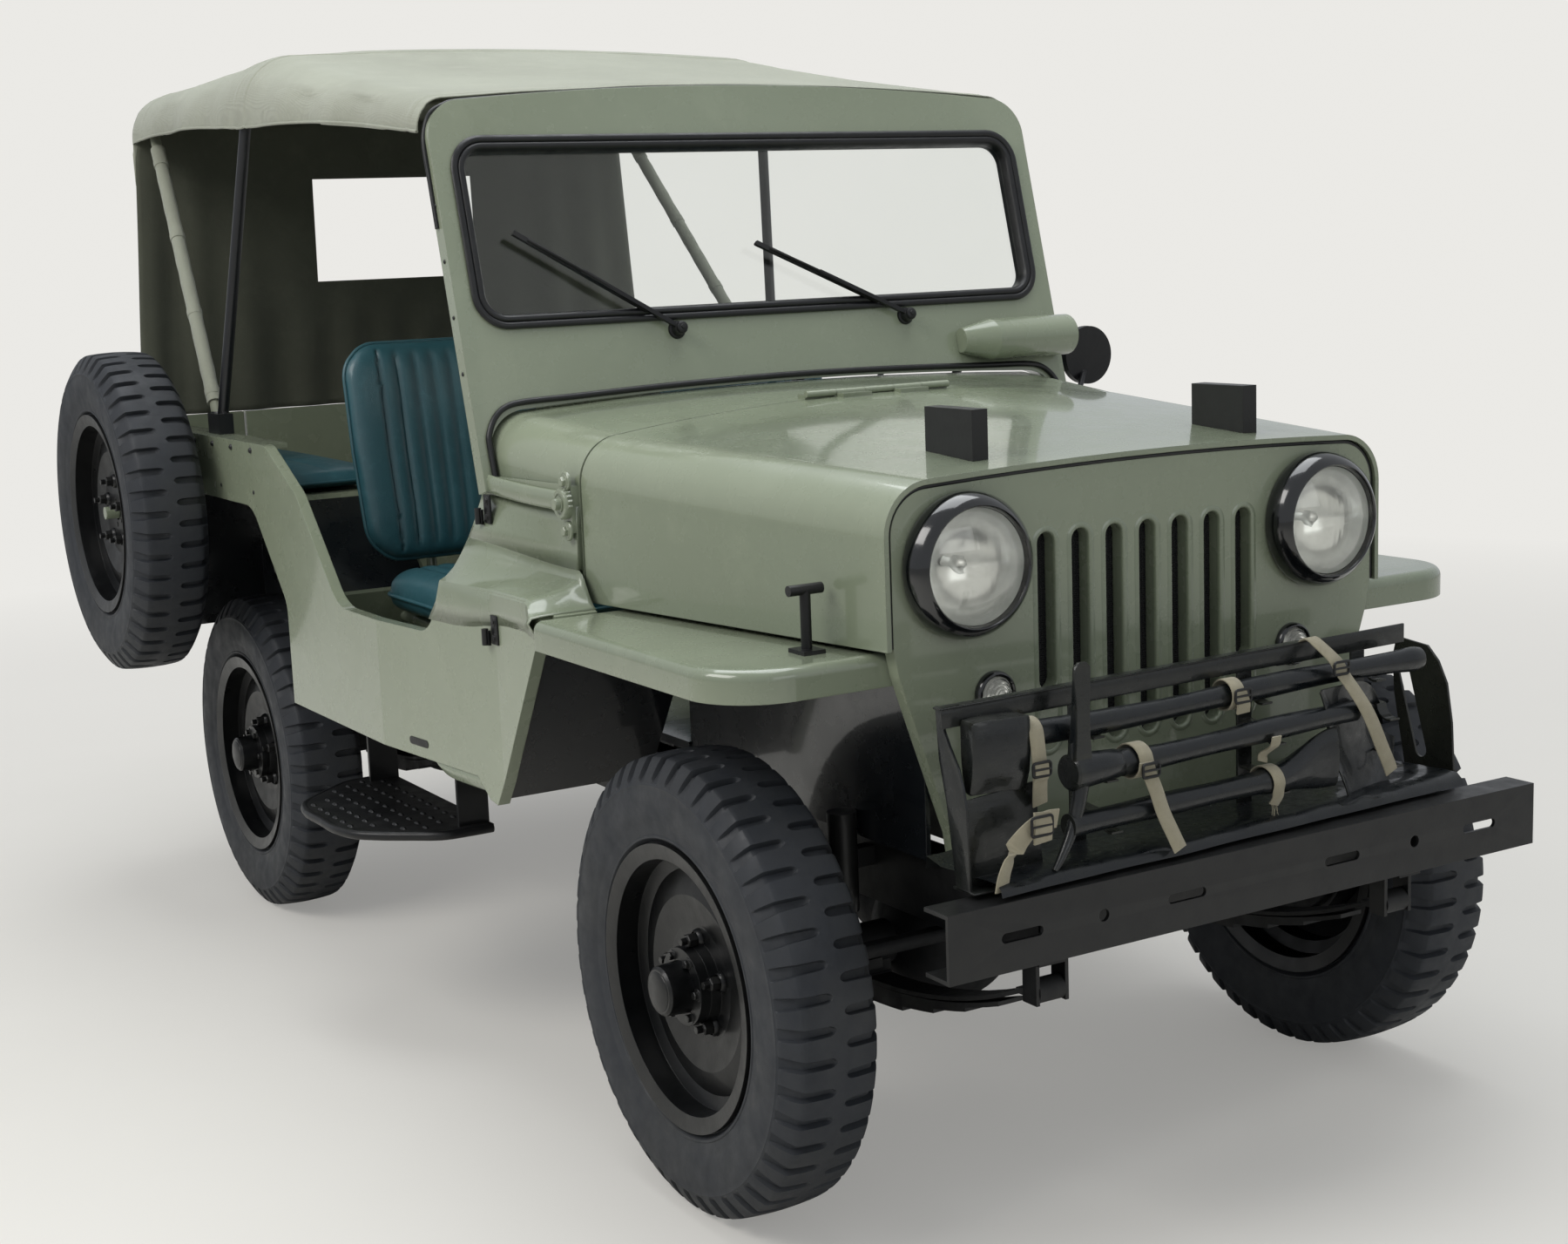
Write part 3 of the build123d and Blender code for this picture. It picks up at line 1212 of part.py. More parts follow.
# Front bumper: a channel open to the rear, with round holes and slots in its face
BUMPER_Y = at(BUMPER_OFF)
BUMPER_LOW = BUMPER_TOP - BUMPER_H
BUMPER_HOLE_X = 300.0
BUMPER_HOLE_R = 9.0
with BuildPart() as front_bumper:
    channel = (
        (BUMPER_Y, BUMPER_LOW),
        (BUMPER_Y + BUMPER_D, BUMPER_LOW),
        (BUMPER_Y + BUMPER_D, BUMPER_LOW + BUMPER_T),
        (BUMPER_Y + BUMPER_T, BUMPER_LOW + BUMPER_T),
        (BUMPER_Y + BUMPER_T, BUMPER_TOP - BUMPER_T),
        (BUMPER_Y + BUMPER_D, BUMPER_TOP - BUMPER_T),
        (BUMPER_Y + BUMPER_D, BUMPER_TOP),
        (BUMPER_Y, BUMPER_TOP),
    )
    prism(Plane.YZ.offset(-BUMPER_HALF), channel, 2 * BUMPER_HALF)
    for side in (-1, 1):
        middle_z = BUMPER_TOP - BUMPER_H / 2
        hole_x = side * BUMPER_HOLE_X
        rod((hole_x, BUMPER_Y - 1, middle_z), (hole_x, BUMPER_Y + BUMPER_T + 1, middle_z), BUMPER_HOLE_R, Mode.SUBTRACT)
        with BuildSketch(cross(BUMPER_Y - 1)) as slot:
            for x in (440, 150):
                with Locations((side * x, middle_z)):
                    SlotOverall(70, 14)
        extrude(slot.sketch, amount=-BUMPER_T - 2, mode=Mode.SUBTRACT)
        block(
            (side * (RAIL_OUT - RAIL_W / 2) - 20, BUMPER_Y + BUMPER_T, BUMPER_LOW + BUMPER_T),
            (side * (RAIL_OUT - RAIL_W / 2) + 20, at(RAIL_FRONT_OFF), BUMPER_TOP - BUMPER_T),
        )
write("front_bumper", front_bumper.part)

# Tool rack on the bumper: end plates, back bar, tray; axe, mattock and shovel lie across it
RACK_HALF = 490.0
RACK_T = 5.0
RACK_TOP = 846.0
HANDLE_R = 17.0
HANDLES = (
    # name, start x, end x, offset from the front axle, height
    ("axe", -470.0, 487.5, -400.0, RACK_TOP - 40),
    ("mattock", -300.0, 420.0, -432.0, RACK_TOP - 110),
    ("shovel", -470.0, 300.0, -462.0, RACK_TOP - 190),
)
with BuildPart() as tool_rack:
    for side in (-1, 1):
        plate = (
            (at(-515), BUMPER_TOP, 0),
            (at(-470), RACK_TOP, 22),
            (at(-335), RACK_TOP, 22),
            (at(-320), BUMPER_TOP, 0),
        )
        panel(Plane.YZ.offset(side * RACK_HALF - RACK_T / 2), plate, RACK_T)
    block((-RACK_HALF, at(-515), BUMPER_TOP), (RACK_HALF, at(-320), BUMPER_TOP + RACK_T))
    block((-RACK_HALF, at(-345), RACK_TOP - 36), (RACK_HALF, at(-340), RACK_TOP - 6))
    block((-RACK_HALF, at(-372), RACK_TOP - 11), (RACK_HALF, at(-340), RACK_TOP - 6))
    for x in (-245, 245):
        block((x - 22, at(-345), BUMPER_TOP), (x + 22, at(-340), RACK_TOP - 10))
        for name, start_x, end_x, offset, height in HANDLES:
            block((x - 22, at(offset), height - HANDLE_R - 5), (x + 22, at(-342), height))
    for name, start_x, end_x, offset, height in HANDLES:
        rod((start_x, at(offset), height), (end_x, at(offset), height), HANDLE_R, Mode.SUBTRACT)
write("tool_rack", tool_rack.part)
for name, start_x, end_x, offset, height in HANDLES:
    with BuildPart() as tool:
        rod((start_x, at(offset), height), (end_x, at(offset), height), HANDLE_R)
        if name == "shovel":
            blade = (
                (292, height + 92, 34),
                (478, height + 92, 34),
                (474, height - 10, 60),
                (385, height - 78, 30),
                (296, height - 10, 60),
            )
            panel(cross(at(offset - 20)), blade, -12)
            rod((270, at(offset), height), (332, at(offset - 9), height), HANDLE_R + 3)
        if name == "mattock":
            rod((-336, at(offset), height), (-276, at(offset), height), HANDLE_R + 9)
            panel(
                Plane.YZ.offset(-319),
                (
                    (at(offset) - 22, height - 34, 4),
                    (at(offset) + 22, height - 34, 4),
                    (at(offset) + 6, height + 142, 0),
                    (at(offset) - 6, height + 142, 0),
                ),
                27,
            )
        if name == "axe":
            rod((-484, at(offset), height), (-384, at(offset), height), HANDLE_R + 8)
    if name == "axe":
        with BuildPart() as head:
            panel(
                cross(at(offset - 30)),
                (
                    (-484, height + 20, 6),
                    (-384, height + 20, 6),
                    (-392, height - 40, 0),
                    (-372, height - 92, 4),
                    (-487.5, height - 92, 4),
                    (-476, height - 40, 0),
                ),
                -60,
            )
            wedge = (
                (at(offset) - 22, height + 30),
                (at(offset) + 22, height + 30),
                (at(offset) + 22, height - 10),
                (at(offset) + 2, height - 95),
                (at(offset) - 2, height - 95),
                (at(offset) - 22, height - 10),
            )
            prism(Plane.YZ.offset(-500), wedge, 140, Mode.INTERSECT)
            add(tool.part)
        tool = head
    write(name, tool.part)

# Side step under the right door opening
STEP_Z = 420.0
with BuildPart() as side_step:
    step = (
        (-600, at(850), 0),
        (-600, at(1360), 0),
        (-700, at(1360), 70),
        (-842, at(1240), 110),
        (-842, at(970), 110),
        (-700, at(850), 70),
    )
    panel(Plane.XY.offset(STEP_Z - 14), step, 14)
    for offset in (870.0, 1320.0):
        block((-660, at(offset), STEP_Z - 14), (-600, at(offset) + 8, FLOOR_TOP - FLOOR_T))
write("side_step", side_step.part)

# Spare wheel carrier on the right side
disc_x = SPARE_X - 22
with BuildPart() as spare_carrier:
    spare_y = at(SPARE_OFF)
    block((-BODY_HALF - 9, spare_y - 100, ARCH_TOP + 15), (-BODY_HALF, spare_y + 100, DECK_TOP - 8))
    block((-BODY_HALF - 34, spare_y - 30, SPARE_Z - 60), (-BODY_HALF - 8, spare_y + 30, DECK_TOP - 8))
    rod((-BODY_HALF - 20, spare_y, SPARE_Z), (disc_x + RUNNING_GAP, spare_y, SPARE_Z), 58)
    rod((-BODY_HALF - 20, spare_y, SPARE_Z), (disc_x - 34, spare_y, SPARE_Z), 14)
write("spare_carrier", spare_carrier.part)

# Hood catches beside the hood, mirror on the left, housing and wipers on the windscreen
with BuildPart() as hood_catches:
    for side in (-1, 1):
        x = side * (HOOD_HALF + 62)
        rod((x, at(-180), FENDER_TOP), (x, at(-180), FENDER_TOP + 92), 8)
        rod((x - 28, at(-180), FENDER_TOP + 92), (x + 28, at(-180), FENDER_TOP + 92), 8)
        block((x - 18, at(-202), FENDER_TOP), (x + 18, at(-158), FENDER_TOP + 6))
write("hood_catches", hood_catches.part)
MIRROR_R = 62.0
MIRROR = (887.5, 960.0, 1190.0)
ELBOW_X = MIRROR[0] - 97.5
ELBOW_OFF = 870.0
ELBOW_Z = 1090.0
with BuildPart() as mirror_arm:
    eye = (MIRROR[0], at(MIRROR[1]), MIRROR[2])
    block((SCREEN_HALF, at(713), 1116), (SCREEN_HALF + 8, at(739), 1144))
    elbow = (ELBOW_X, at(ELBOW_OFF), ELBOW_Z)
    rod((SCREEN_HALF + 5, at(728), 1130), elbow, 6)
    rod(elbow, (eye[0] - 4, eye[1] - 6, eye[2] - 30), 6)
    rod(eye, (eye[0], eye[1] - 16, eye[2]), MIRROR_R)
    rod((ELBOW_X, at(ELBOW_OFF) - 4, ELBOW_Z), (ELBOW_X, at(ELBOW_OFF) + 4, ELBOW_Z), 8)
write("mirror", mirror_arm.part)
HOUSING_Z = 1252.0
housing_y = at(SCREEN_OFF) + (HOUSING_Z - SCREEN_FOOT_Z) * rake_sin / rake_cos - SCREEN_T / rake_cos
with BuildPart() as windscreen_housing:
    with BuildSketch(Plane.YZ.offset(SCREEN_HALF - 8)) as face:
        with Locations((housing_y - 34, HOUSING_Z)):
            Ellipse(44, 40)
    extrude(face.sketch, amount=-190)
    with BuildSketch(Plane.YZ.offset(SCREEN_HALF - 198)) as near:
        with Locations((housing_y - 34, HOUSING_Z)):
            Ellipse(44, 40)
    with BuildSketch(Plane.YZ.offset(SCREEN_HALF - 250)) as tip:
        with Locations((housing_y - 14, HOUSING_Z)):
            Ellipse(20, 24)
    loft((near.sketch, tip.sketch), ruled=True)
    with BuildSketch(SCREEN) as back:
        Rectangle(3 * SCREEN_HALF, 3 * SCREEN_TOP_V)
    extrude(back.sketch, amount=-120, mode=Mode.SUBTRACT)
    extrude(back.sketch, amount=SCREEN_T, mode=Mode.SUBTRACT)
write("windscreen_housing", windscreen_housing.part)


def strip(start, end, width, low, thick):
    # a flat bar in the windscreen's plane between two points, each across and up
    across = end[0] - start[0]
    up = end[1] - start[1]
    length = sqrt(across**2 + up**2)
    side_x = -up / length * width / 2
    side_v = across / length * width / 2
    bar = (
        (start[0] + side_x, start[1] + side_v),
        (end[0] + side_x, end[1] + side_v),
        (end[0] - side_x, end[1] - side_v),
        (start[0] - side_x, start[1] - side_v),
    )
    prism(SCREEN.offset(SCREEN_T + low), bar, thick)


WIPERS = (
    # pivot across, blade end across, blade end up
    (-222.0, -520.0, 340.0),
    (282.0, -30.0, 305.0),
)
WIPER_V = 152.0
with BuildPart() as wipers:
    for pivot, end, end_v in WIPERS:
        with BuildSketch(SCREEN.offset(SCREEN_T)) as foot:
            with Locations((pivot, WIPER_V)):
                Circle(12)
        extrude(foot.sketch, amount=22)
        middle = (pivot * 0.4 + end * 0.6, WIPER_V * 0.4 + end_v * 0.6)
        start = (pivot * 0.8 + end * 0.2, WIPER_V * 0.8 + end_v * 0.2)
        strip((pivot, WIPER_V), middle, 8, 13, 7)
        strip(start, (end, end_v), 9, 7, 8)
write("wipers", wipers.part)
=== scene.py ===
from math import atan2, cos, pi, radians, sin, sqrt
import bpy
import bmesh
from mathutils import Matrix, Vector, noise


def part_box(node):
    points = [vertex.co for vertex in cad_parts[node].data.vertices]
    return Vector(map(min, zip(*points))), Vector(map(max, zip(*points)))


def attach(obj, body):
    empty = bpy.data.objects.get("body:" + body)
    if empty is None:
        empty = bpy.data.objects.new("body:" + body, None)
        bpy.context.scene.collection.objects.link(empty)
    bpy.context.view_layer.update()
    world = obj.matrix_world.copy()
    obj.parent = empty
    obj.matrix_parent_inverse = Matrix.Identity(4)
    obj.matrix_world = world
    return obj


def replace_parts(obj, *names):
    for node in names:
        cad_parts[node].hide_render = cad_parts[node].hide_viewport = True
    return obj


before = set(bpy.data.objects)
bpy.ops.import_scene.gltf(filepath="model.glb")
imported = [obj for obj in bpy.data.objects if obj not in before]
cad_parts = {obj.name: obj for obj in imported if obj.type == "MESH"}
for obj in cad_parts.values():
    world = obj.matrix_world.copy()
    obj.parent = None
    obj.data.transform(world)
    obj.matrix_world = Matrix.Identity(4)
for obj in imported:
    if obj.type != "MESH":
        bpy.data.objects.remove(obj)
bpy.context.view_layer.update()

# Army 4x4 car. Metres, +X to the car's left, the front faces -Y.
# Lengthwise places, called offsets, count from the front axle and go through `at`.
FRONT_AXLE = -1.1
REAR_AXLE = FRONT_AXLE + 2.034
TYRE_R = 0.355
HALF_TRACK = 0.613
SIDES = (-1, 1)
FRONT, REAR, UP = (0, -1, 0), (0, 1, 0), (0, 0, 1)


def at(offset):
    return FRONT_AXLE + offset


# ---------- materials ----------
def hexrgb(text):
    out = []
    for i in (0, 2, 4):
        c = int(text[i:i + 2], 16) / 255
        out.append(c / 12.92 if c <= 0.04045 else ((c + 0.055) / 1.055) ** 2.4)
    return (*out, 1.0)


def feed(tree, node, inputs):
    """Sets a node's inputs; a value that is a socket is linked."""
    for key, value in inputs.items():
        if isinstance(value, bpy.types.NodeSocket):
            tree.links.new(value, node.inputs[key])
        else:
            node.inputs[key].default_value = value


def add_node(tree, kind, inputs, out, **values):
    """A new node with its properties and inputs set; gives the named output."""
    node = tree.nodes.new(kind)
    for key, value in values.items():
        setattr(node, key, value)
    feed(tree, node, inputs)
    return node.outputs[out]


class Mat:
    """A Principled material with a few noise layers for colour, roughness and bump."""

    def __init__(self, name, colour, rough=0.5, metal=0.0, coat=0.0, coat_rough=0.05, sheen=0.0, spec=0.5,
                 trans=0.0, ior=1.5):
        self.m = bpy.data.materials.new(name)
        self.m.use_nodes = True
        self.t = self.m.node_tree
        self.p = self.t.nodes["Principled BSDF"]
        self.colour, self.bumps = hexrgb(colour), None
        feed(self.t, self.p, {"Base Color": self.colour, "Roughness": rough, "Metallic": metal,
                              "Coat Weight": coat, "Coat Roughness": coat_rough, "Sheen Weight": sheen,
                              "Specular IOR Level": spec, "Transmission Weight": trans, "IOR": ior})
        self.co = self.add("ShaderNodeTexCoord", {}, "Object")

    def add(self, kind, inputs, out, **values):
        return add_node(self.t, kind, inputs, out, **values)

    def noise(self, scale, detail, rough=0.55, distort=0.0, stretch=None):
        source = self.co
        if stretch:
            source = self.add("ShaderNodeMapping", {"Scale": stretch, "Vector": source}, "Vector")
        return self.add("ShaderNodeTexNoise", {"Scale": scale, "Detail": detail, "Roughness": rough,
                                               "Distortion": distort, "Vector": source}, "Fac")

    def wave(self, scale, axis, distort=0.0):
        return self.add("ShaderNodeTexWave", {"Scale": scale, "Distortion": distort, "Detail": 1.0,
                                              "Vector": self.co}, "Fac", bands_direction=axis)

    def weave(self, scale, axes="XZ", distort=0.0, other=None):
        return self.math("MULTIPLY", self.wave(scale, axes[0], distort), self.wave(other or scale, axes[1], distort))

    def cells(self, scale):
        return self.add("ShaderNodeTexVoronoi", {"Scale": scale, "Vector": self.co}, "Distance")

    def ramp(self, fac, low, high, a, b):
        return self.add("ShaderNodeMapRange", {"From Min": low, "From Max": high, "To Min": a, "To Max": b,
                                               "Value": fac}, "Result")

    def tint(self, fac, colour):
        self.colour = self.add("ShaderNodeMix", {"A": self.colour, "B": hexrgb(colour), "Factor": fac}, "Result",
                               data_type="RGBA")
        feed(self.t, self.p, {"Base Color": self.colour})

    def blotch(self, scale, detail, grain, low, high, amount, colour):
        self.tint(self.ramp(self.noise(scale, detail, grain), low, high, 0, amount), colour)

    def edges(self, low, high, amount, colour):
        pointed = self.add("ShaderNodeNewGeometry", {}, "Pointiness")
        self.tint(self.ramp(pointed, low, high, 0, amount), colour)

    def rough(self, fac, low, high, a, b):
        feed(self.t, self.p, {"Roughness": self.ramp(fac, low, high, a, b)})

    def shine(self, scale, detail, a, b):
        self.rough(self.noise(scale, detail), 0.3, 0.7, a, b)

    def bump(self, fac, strength, distance):
        inputs = {"Strength": strength, "Distance": distance, "Height": fac}
        if self.bumps is not None:
            inputs["Normal"] = self.bumps
        self.bumps = self.add("ShaderNodeBump", inputs, "Normal")
        feed(self.t, self.p, {"Normal": self.bumps})

    def soften(self, radius):
        self.bumps = self.add("ShaderNodeBevel", {"Radius": radius}, "Normal", samples=4)

    def math(self, op, a, b):
        return self.add("ShaderNodeMath", {0: a, 1: b}, "Value", operation=op)

    def place(self):
        """The distance from the middle, and the Y and Z of the place."""
        x, y, z = (self.add("ShaderNodeSeparateXYZ", {"Vector": self.co}, axis) for axis in "XYZ")
        return self.math("ABSOLUTE", x, 0), y, z

    def over(self, value, limit):
        return self.math("GREATER_THAN", value, limit)

    def under(self, value, limit):
        return self.math("LESS_THAN", value, limit)

    def joined(self, op, values):
        out = values[0]
        for value in values[1:]:
            out = self.math(op, out, value)
        return out

    def both(self, *values):
        return self.joined("MULTIPLY", values)

    def any(self, *values):
        return self.joined("MAXIMUM", values)


def make_paint(name, colour, dark, dust, rough, shade_mask=None):
    m = Mat(name, colour, rough, coat=0.7, coat_rough=0.06, spec=0.45)
    m.soften(0.0025)
    m.blotch(1.7, 5, 0.55, 0.35, 0.7, 0.55, dark)
    m.blotch(9, 6, 0.65, 0.55, 0.8, 0.3, dust)
    m.edges(0.53, 0.62, 0.35, dust)
    # painted shade: the shade mask's places turn near black
    if shade_mask:
        m.tint(shade_mask(m), "15181b")
    m.rough(m.noise(14, 6, 0.6), 0.3, 0.75, rough * 0.75, rough * 1.35)
    m.bump(m.noise(3.2, 2, 0.4), 0.22, 0.02)
    m.bump(m.noise(420, 2), 0.05, 0.0006)
    return m.m


def tub_shade_mask(m):
    """Painted shade: black below the floor, on the sloping nose plates and inside the wheel arches, where shade
    falls.
    """
    x, y, z = m.place()
    arch = m.both(m.over(x, 0.4445), m.under(z, 0.957), m.over(y, at(1.494)), m.under(y, at(2.575)))
    return m.any(arch, m.under(y, at(0.62)), m.under(z, 0.612))


def fender_shade_mask(m):
    """Painted shade: black under the fender behind the wheel, and on the apron beside the engine, where shade falls.
    """
    x, y, z = m.place()
    below = m.both(m.under(x, 0.718), m.under(z, 0.862), m.over(y, at(-0.12)), m.under(y, at(0.362)))
    return m.any(below, m.both(m.under(x, 0.402), m.under(z, 0.866)))


def make_black(name, colour, rough, coat=0.0, amount=0.2):
    m = Mat(name, colour, rough, coat=coat, coat_rough=0.08, spec=0.35)
    m.soften(0.0015)
    m.blotch(6, 6, 0.65, 0.45, 0.75, amount, "262523")
    m.edges(0.54, 0.64, 0.25, "3c3c3a")
    m.shine(30, 5, rough * 0.8, min(1, rough * 1.3))
    m.bump(m.noise(160, 4), 0.12, 0.0015)
    return m.m


def make_canvas(name, colour, dark, pale, thread, other="Y"):
    m = Mat(name, colour, 0.9, sheen=0.25, spec=0.2)
    m.blotch(2.2, 6, 0.6, 0.35, 0.7, 0.7, dark)
    m.blotch(14, 6, 0.7, 0.5, 0.8, 0.4, pale)
    weave = m.weave(190, "X" + other, 0.6)
    m.tint(m.ramp(weave, 0.2, 0.8, 0, 0.25), thread)
    m.bump(weave, 0.35, 0.0015)
    m.bump(m.noise(9, 5, 0.6, 0.6), 0.3, 0.012)
    return m.m


def make_glass(name, colour, rough):
    m = Mat(name, colour, rough, trans=1.0, ior=1.45)
    m.blotch(4, 4, 0.55, 0.4, 0.8, 0.2, "e6ece8")
    m.bump(m.noise(2, 2), 0.05, 0.004)
    return m.m


def make_metal(name, colour, rough, metal=1.0):
    m = Mat(name, colour, rough, metal=metal)
    m.blotch(40, 4, 0.55, 0.4, 0.8, 0.3, "8f9290")
    m.bump(m.noise(200, 3), 0.05, 0.001)
    return m.m


PAINT = make_paint("paint", "7e8773", "707861", "979e88", 0.26)
# the tub's paint carries painted shade: black below the floor, on the nose plates and in the wheel arches
PAINT_TUB_SHADED = make_paint("paint_tub", "727a66", "656c56", "898f7a", 0.28, tub_shade_mask)
# the fenders' paint carries painted shade: black under the fender and on the apron beside the engine
PAINT_FENDER_SHADED = make_paint("paint_fender", "7a836f", "6c745e", "939984", 0.26, fender_shade_mask)
BLACK = make_black("black_paint", "090a0c", 0.42, coat=0.1)
WHEEL_BLACK = make_black("wheel_paint", "040506", 0.34, coat=0.1, amount=0.05)
STEEL = make_black("dusty_steel", "131416", 0.6, amount=0.4)
LAMP_BLACK = make_black("lamp_ring", "0a0c0e", 0.16, coat=1.0, amount=0.05)
CANVAS = make_canvas("canvas", "979a8b", "838577", "a6a898", "73766a")
# the curtain's canvas is the roof's canvas made darker: painted shade for the curtain standing in shade under the
# roof
SHADED_CURTAIN = make_canvas("curtain_canvas", "515347", "41433a", "5f6154", "3b3d34", "Z")
PANE = make_glass("pane_glass", "f2f5f3", 0.0)
LENS = make_glass("lens_glass", "f4f4f0", 0.02)
CHROME = make_metal("reflector", "f4f6f6", 0.2, 0.6)
MIRROR = make_metal("mirror_glass", "dfe3e4", 0.03)

m = Mat("tool_paint", "0d1114", 0.32, coat=0.3, spec=0.35)
m.soften(0.002)
m.blotch(22, 6, 0.7, 0.5, 0.72, 0.5, "1f221b")
m.edges(0.53, 0.61, 0.35, "38382e")
m.shine(60, 5, 0.2, 0.5)
m.bump(m.noise(70, 5, 0.6, stretch=(0.25, 1, 1)), 0.35, 0.003)
TOOL = m.m

m = Mat("tyre_rubber", "282b30", 0.55, spec=0.4)
m.blotch(5, 6, 0.7, 0.4, 0.75, 0.5, "383836")
m.blotch(60, 5, 0.7, 0.5, 0.8, 0.35, "17191c")
m.shine(25, 5, 0.48, 0.75)
m.bump(m.noise(300, 5), 0.15, 0.001)
TYRE = m.m

# the rear bow's legs are wrapped in canvas, the front bow is black
m = Mat("bow_paint", "0d0f12", 0.4, coat=0.2)
_, y, z = m.place()
covered = m.both(m.over(y, at(1.98)), m.over(z, 1.135))
m.tint(covered, "7d8070")
m.tint(m.both(covered, m.ramp(m.noise(18, 5), 0.4, 0.7, 0, 0.5)), "66695a")
m.rough(covered, 0, 1, 0.4, 0.9)
m.bump(m.noise(120, 4), 0.15, 0.001)
BOWS = m.m

m = Mat("seat_leather", "2c5a63", 0.36, coat=0.3, coat_rough=0.2, spec=0.5)
m.blotch(4, 5, 0.55, 0.35, 0.7, 0.6, "22464e")
m.blotch(30, 5, 0.7, 0.55, 0.8, 0.35, "4c7984")
m.shine(20, 4, 0.34, 0.55)
m.bump(m.cells(620), 0.25, 0.0012)
m.bump(m.noise(60, 5), 0.25, 0.003)
LEATHER = m.m

m = Mat("seal_rubber", "0c0d0f", 0.4, spec=0.5)
m.blotch(30, 5, 0.55, 0.5, 0.8, 0.4, "222426")
m.shine(40, 4, 0.3, 0.5)
m.bump(m.noise(250, 4), 0.1, 0.001)
RUBBER = m.m

m = Mat("webbing", "a19a84", 0.85, sheen=0.2, spec=0.2)
m.blotch(25, 6, 0.7, 0.4, 0.75, 0.6, "807a66")
threads = m.weave(420, "XZ", 1)
m.tint(m.ramp(threads, 0.2, 0.8, 0, 0.3), "6d6857")
m.bump(threads, 0.5, 0.001)
WEB = m.m

m = Mat("lamp_red", "6e1216", 0.2, coat=0.6)
m.blotch(30, 3, 0.55, 0.4, 0.8, 0.4, "8f2a26")
m.bump(m.wave(160, "Z"), 0.4, 0.001)
RED = m.m

m = Mat("radiator_core", "0a0b0c", 0.7)
fins = m.weave(95, "ZX", other=60)
m.tint(m.ramp(fins, 0.2, 0.9, 0, 0.8), "26282a")
m.bump(fins, 0.8, 0.004)
CORE = m.m

# the CAD nodes that aren't painted in the body colour
NODE_LOOKS = (
    (BLACK, "chassis_frame front_bumper shock_absorbers wipers steering_column steering_wheel side_step "
            "hood_catches mirror hood_blocks"),
    (STEEL, "leaf_springs front_axle rear_axle knuckle_right knuckle_left tie_rod drive_shafts exhaust engine "
            "gearbox"),
    (CORE, "radiator"), (LAMP_BLACK, "headlights parking_lamps"), (RED, "tail_lamps"),
    (RUBBER, "windscreen_seal"), (PANE, "windscreen_glass"), (CANVAS, "canopy"), (BOWS, "canopy_bows"),
    (PAINT_TUB_SHADED, "tub_floor"), (PAINT_FENDER_SHADED, "fender_right fender_left"),
    (LEATHER, "seat_cushions seat_backs side_cushions"), (TOOL, "tool_rack axe mattock shovel"),
)
look = {name: material for material, names in NODE_LOOKS for name in names.split()}
for name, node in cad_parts.items():
    chosen = look.get(name, PAINT)
    if name.startswith("tyre_"):
        chosen = TYRE
    if name.startswith("wheel_"):
        chosen = WHEEL_BLACK
    slots = node.data.materials
    if not slots:
        slots.append(chosen)
    for index in range(len(slots)):
        slots[index] = chosen


# ---------- mesh helpers ----------
def mesh_data(name, bm, material, angle):
    data = bpy.data.meshes.new(name)
    bmesh.ops.recalc_face_normals(bm, faces=bm.faces)
    bm.to_mesh(data)
    bm.free()
    for face in data.polygons:
        face.use_smooth = True
    data.set_sharp_from_angle(angle=radians(angle))
    data.materials.append(material)
    return data


def put(name, data):
    made = bpy.data.objects.new(name, data)
    bpy.context.scene.collection.objects.link(made)
    return made


def piece(name, bm, material, angle, body="vehicle"):
    """Makes a visible piece; edges sharper than the angle stay sharp."""
    made = put(name, mesh_data(name, bm, material, angle))
    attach(made, body)
    return made


def thicken(made, name, thickness, offset=-1):
    mod = made.modifiers.new(name, "SOLIDIFY")
    mod.thickness, mod.offset = thickness, offset


def grid(bm, rows, close_u=False, close_v=False):
    """rows of points to quads; close_u joins each row's ends, close_v joins the last row to the first."""
    made = [[bm.verts.new(p) for p in row] for row in rows]
    count, width = len(made), len(made[0])
    for i in range(count if close_v else count - 1):
        a, b = made[i], made[(i + 1) % count]
        for j in range(width if close_u else width - 1):
            k = (j + 1) % width
            bm.faces.new((a[j], a[k], b[k], b[j]))
    return made


def capped(bm, rows):
    """Closed rings with both ends filled."""
    made = grid(bm, rows, close_u=True)
    bm.faces.new(made[0])
    bm.faces.new(list(reversed(made[-1])))


def circle(count, start=0.0):
    return [(cos(2 * pi * k / count + start), sin(2 * pi * k / count + start)) for k in range(count)]


def lathe(bm, origin, direction, profile, segments=32):
    """profile is (along, radius) pairs round the direction; a radius of 0 closes to a point."""
    z = Vector(direction).normalized()
    x = z.orthogonal().normalized()
    y = z.cross(x)
    last = None
    for along, radius in profile:
        centre = Vector(origin) + z * along
        ring = [centre] if radius < 1e-6 else [centre + (x * u + y * v) * radius for u, v in circle(segments)]
        ring = [bm.verts.new(p) for p in ring]
        for k in range(segments if last else 0):
            m = (k + 1) % segments
            if len(last) == 1 and len(ring) > 1:
                bm.faces.new((last[0], ring[k], ring[m]))
            elif len(ring) == 1 and len(last) > 1:
                bm.faces.new((last[k], last[m], ring[0]))
            elif len(ring) > 1:
                bm.faces.new((last[k], last[m], ring[m], ring[k]))
        last = ring


def bolt(bm, origin, direction, radius, height):
    """A hexagon head on a washer."""
    lathe(bm, origin, direction, ((0, 0), (0, radius * 1.45), (0.0015, radius * 1.4), (0.0015, 0)), 16)
    lathe(bm, origin, direction, ((0, radius), (height * 0.85, radius), (height, radius * 0.85), (height, 0)), 6)


def dome(bm, origin, direction, radius, height):
    shape = ((0, radius), (height * 0.6, radius * 0.8), (height, radius * 0.35), (height, 0))
    lathe(bm, origin, direction, shape, 12)


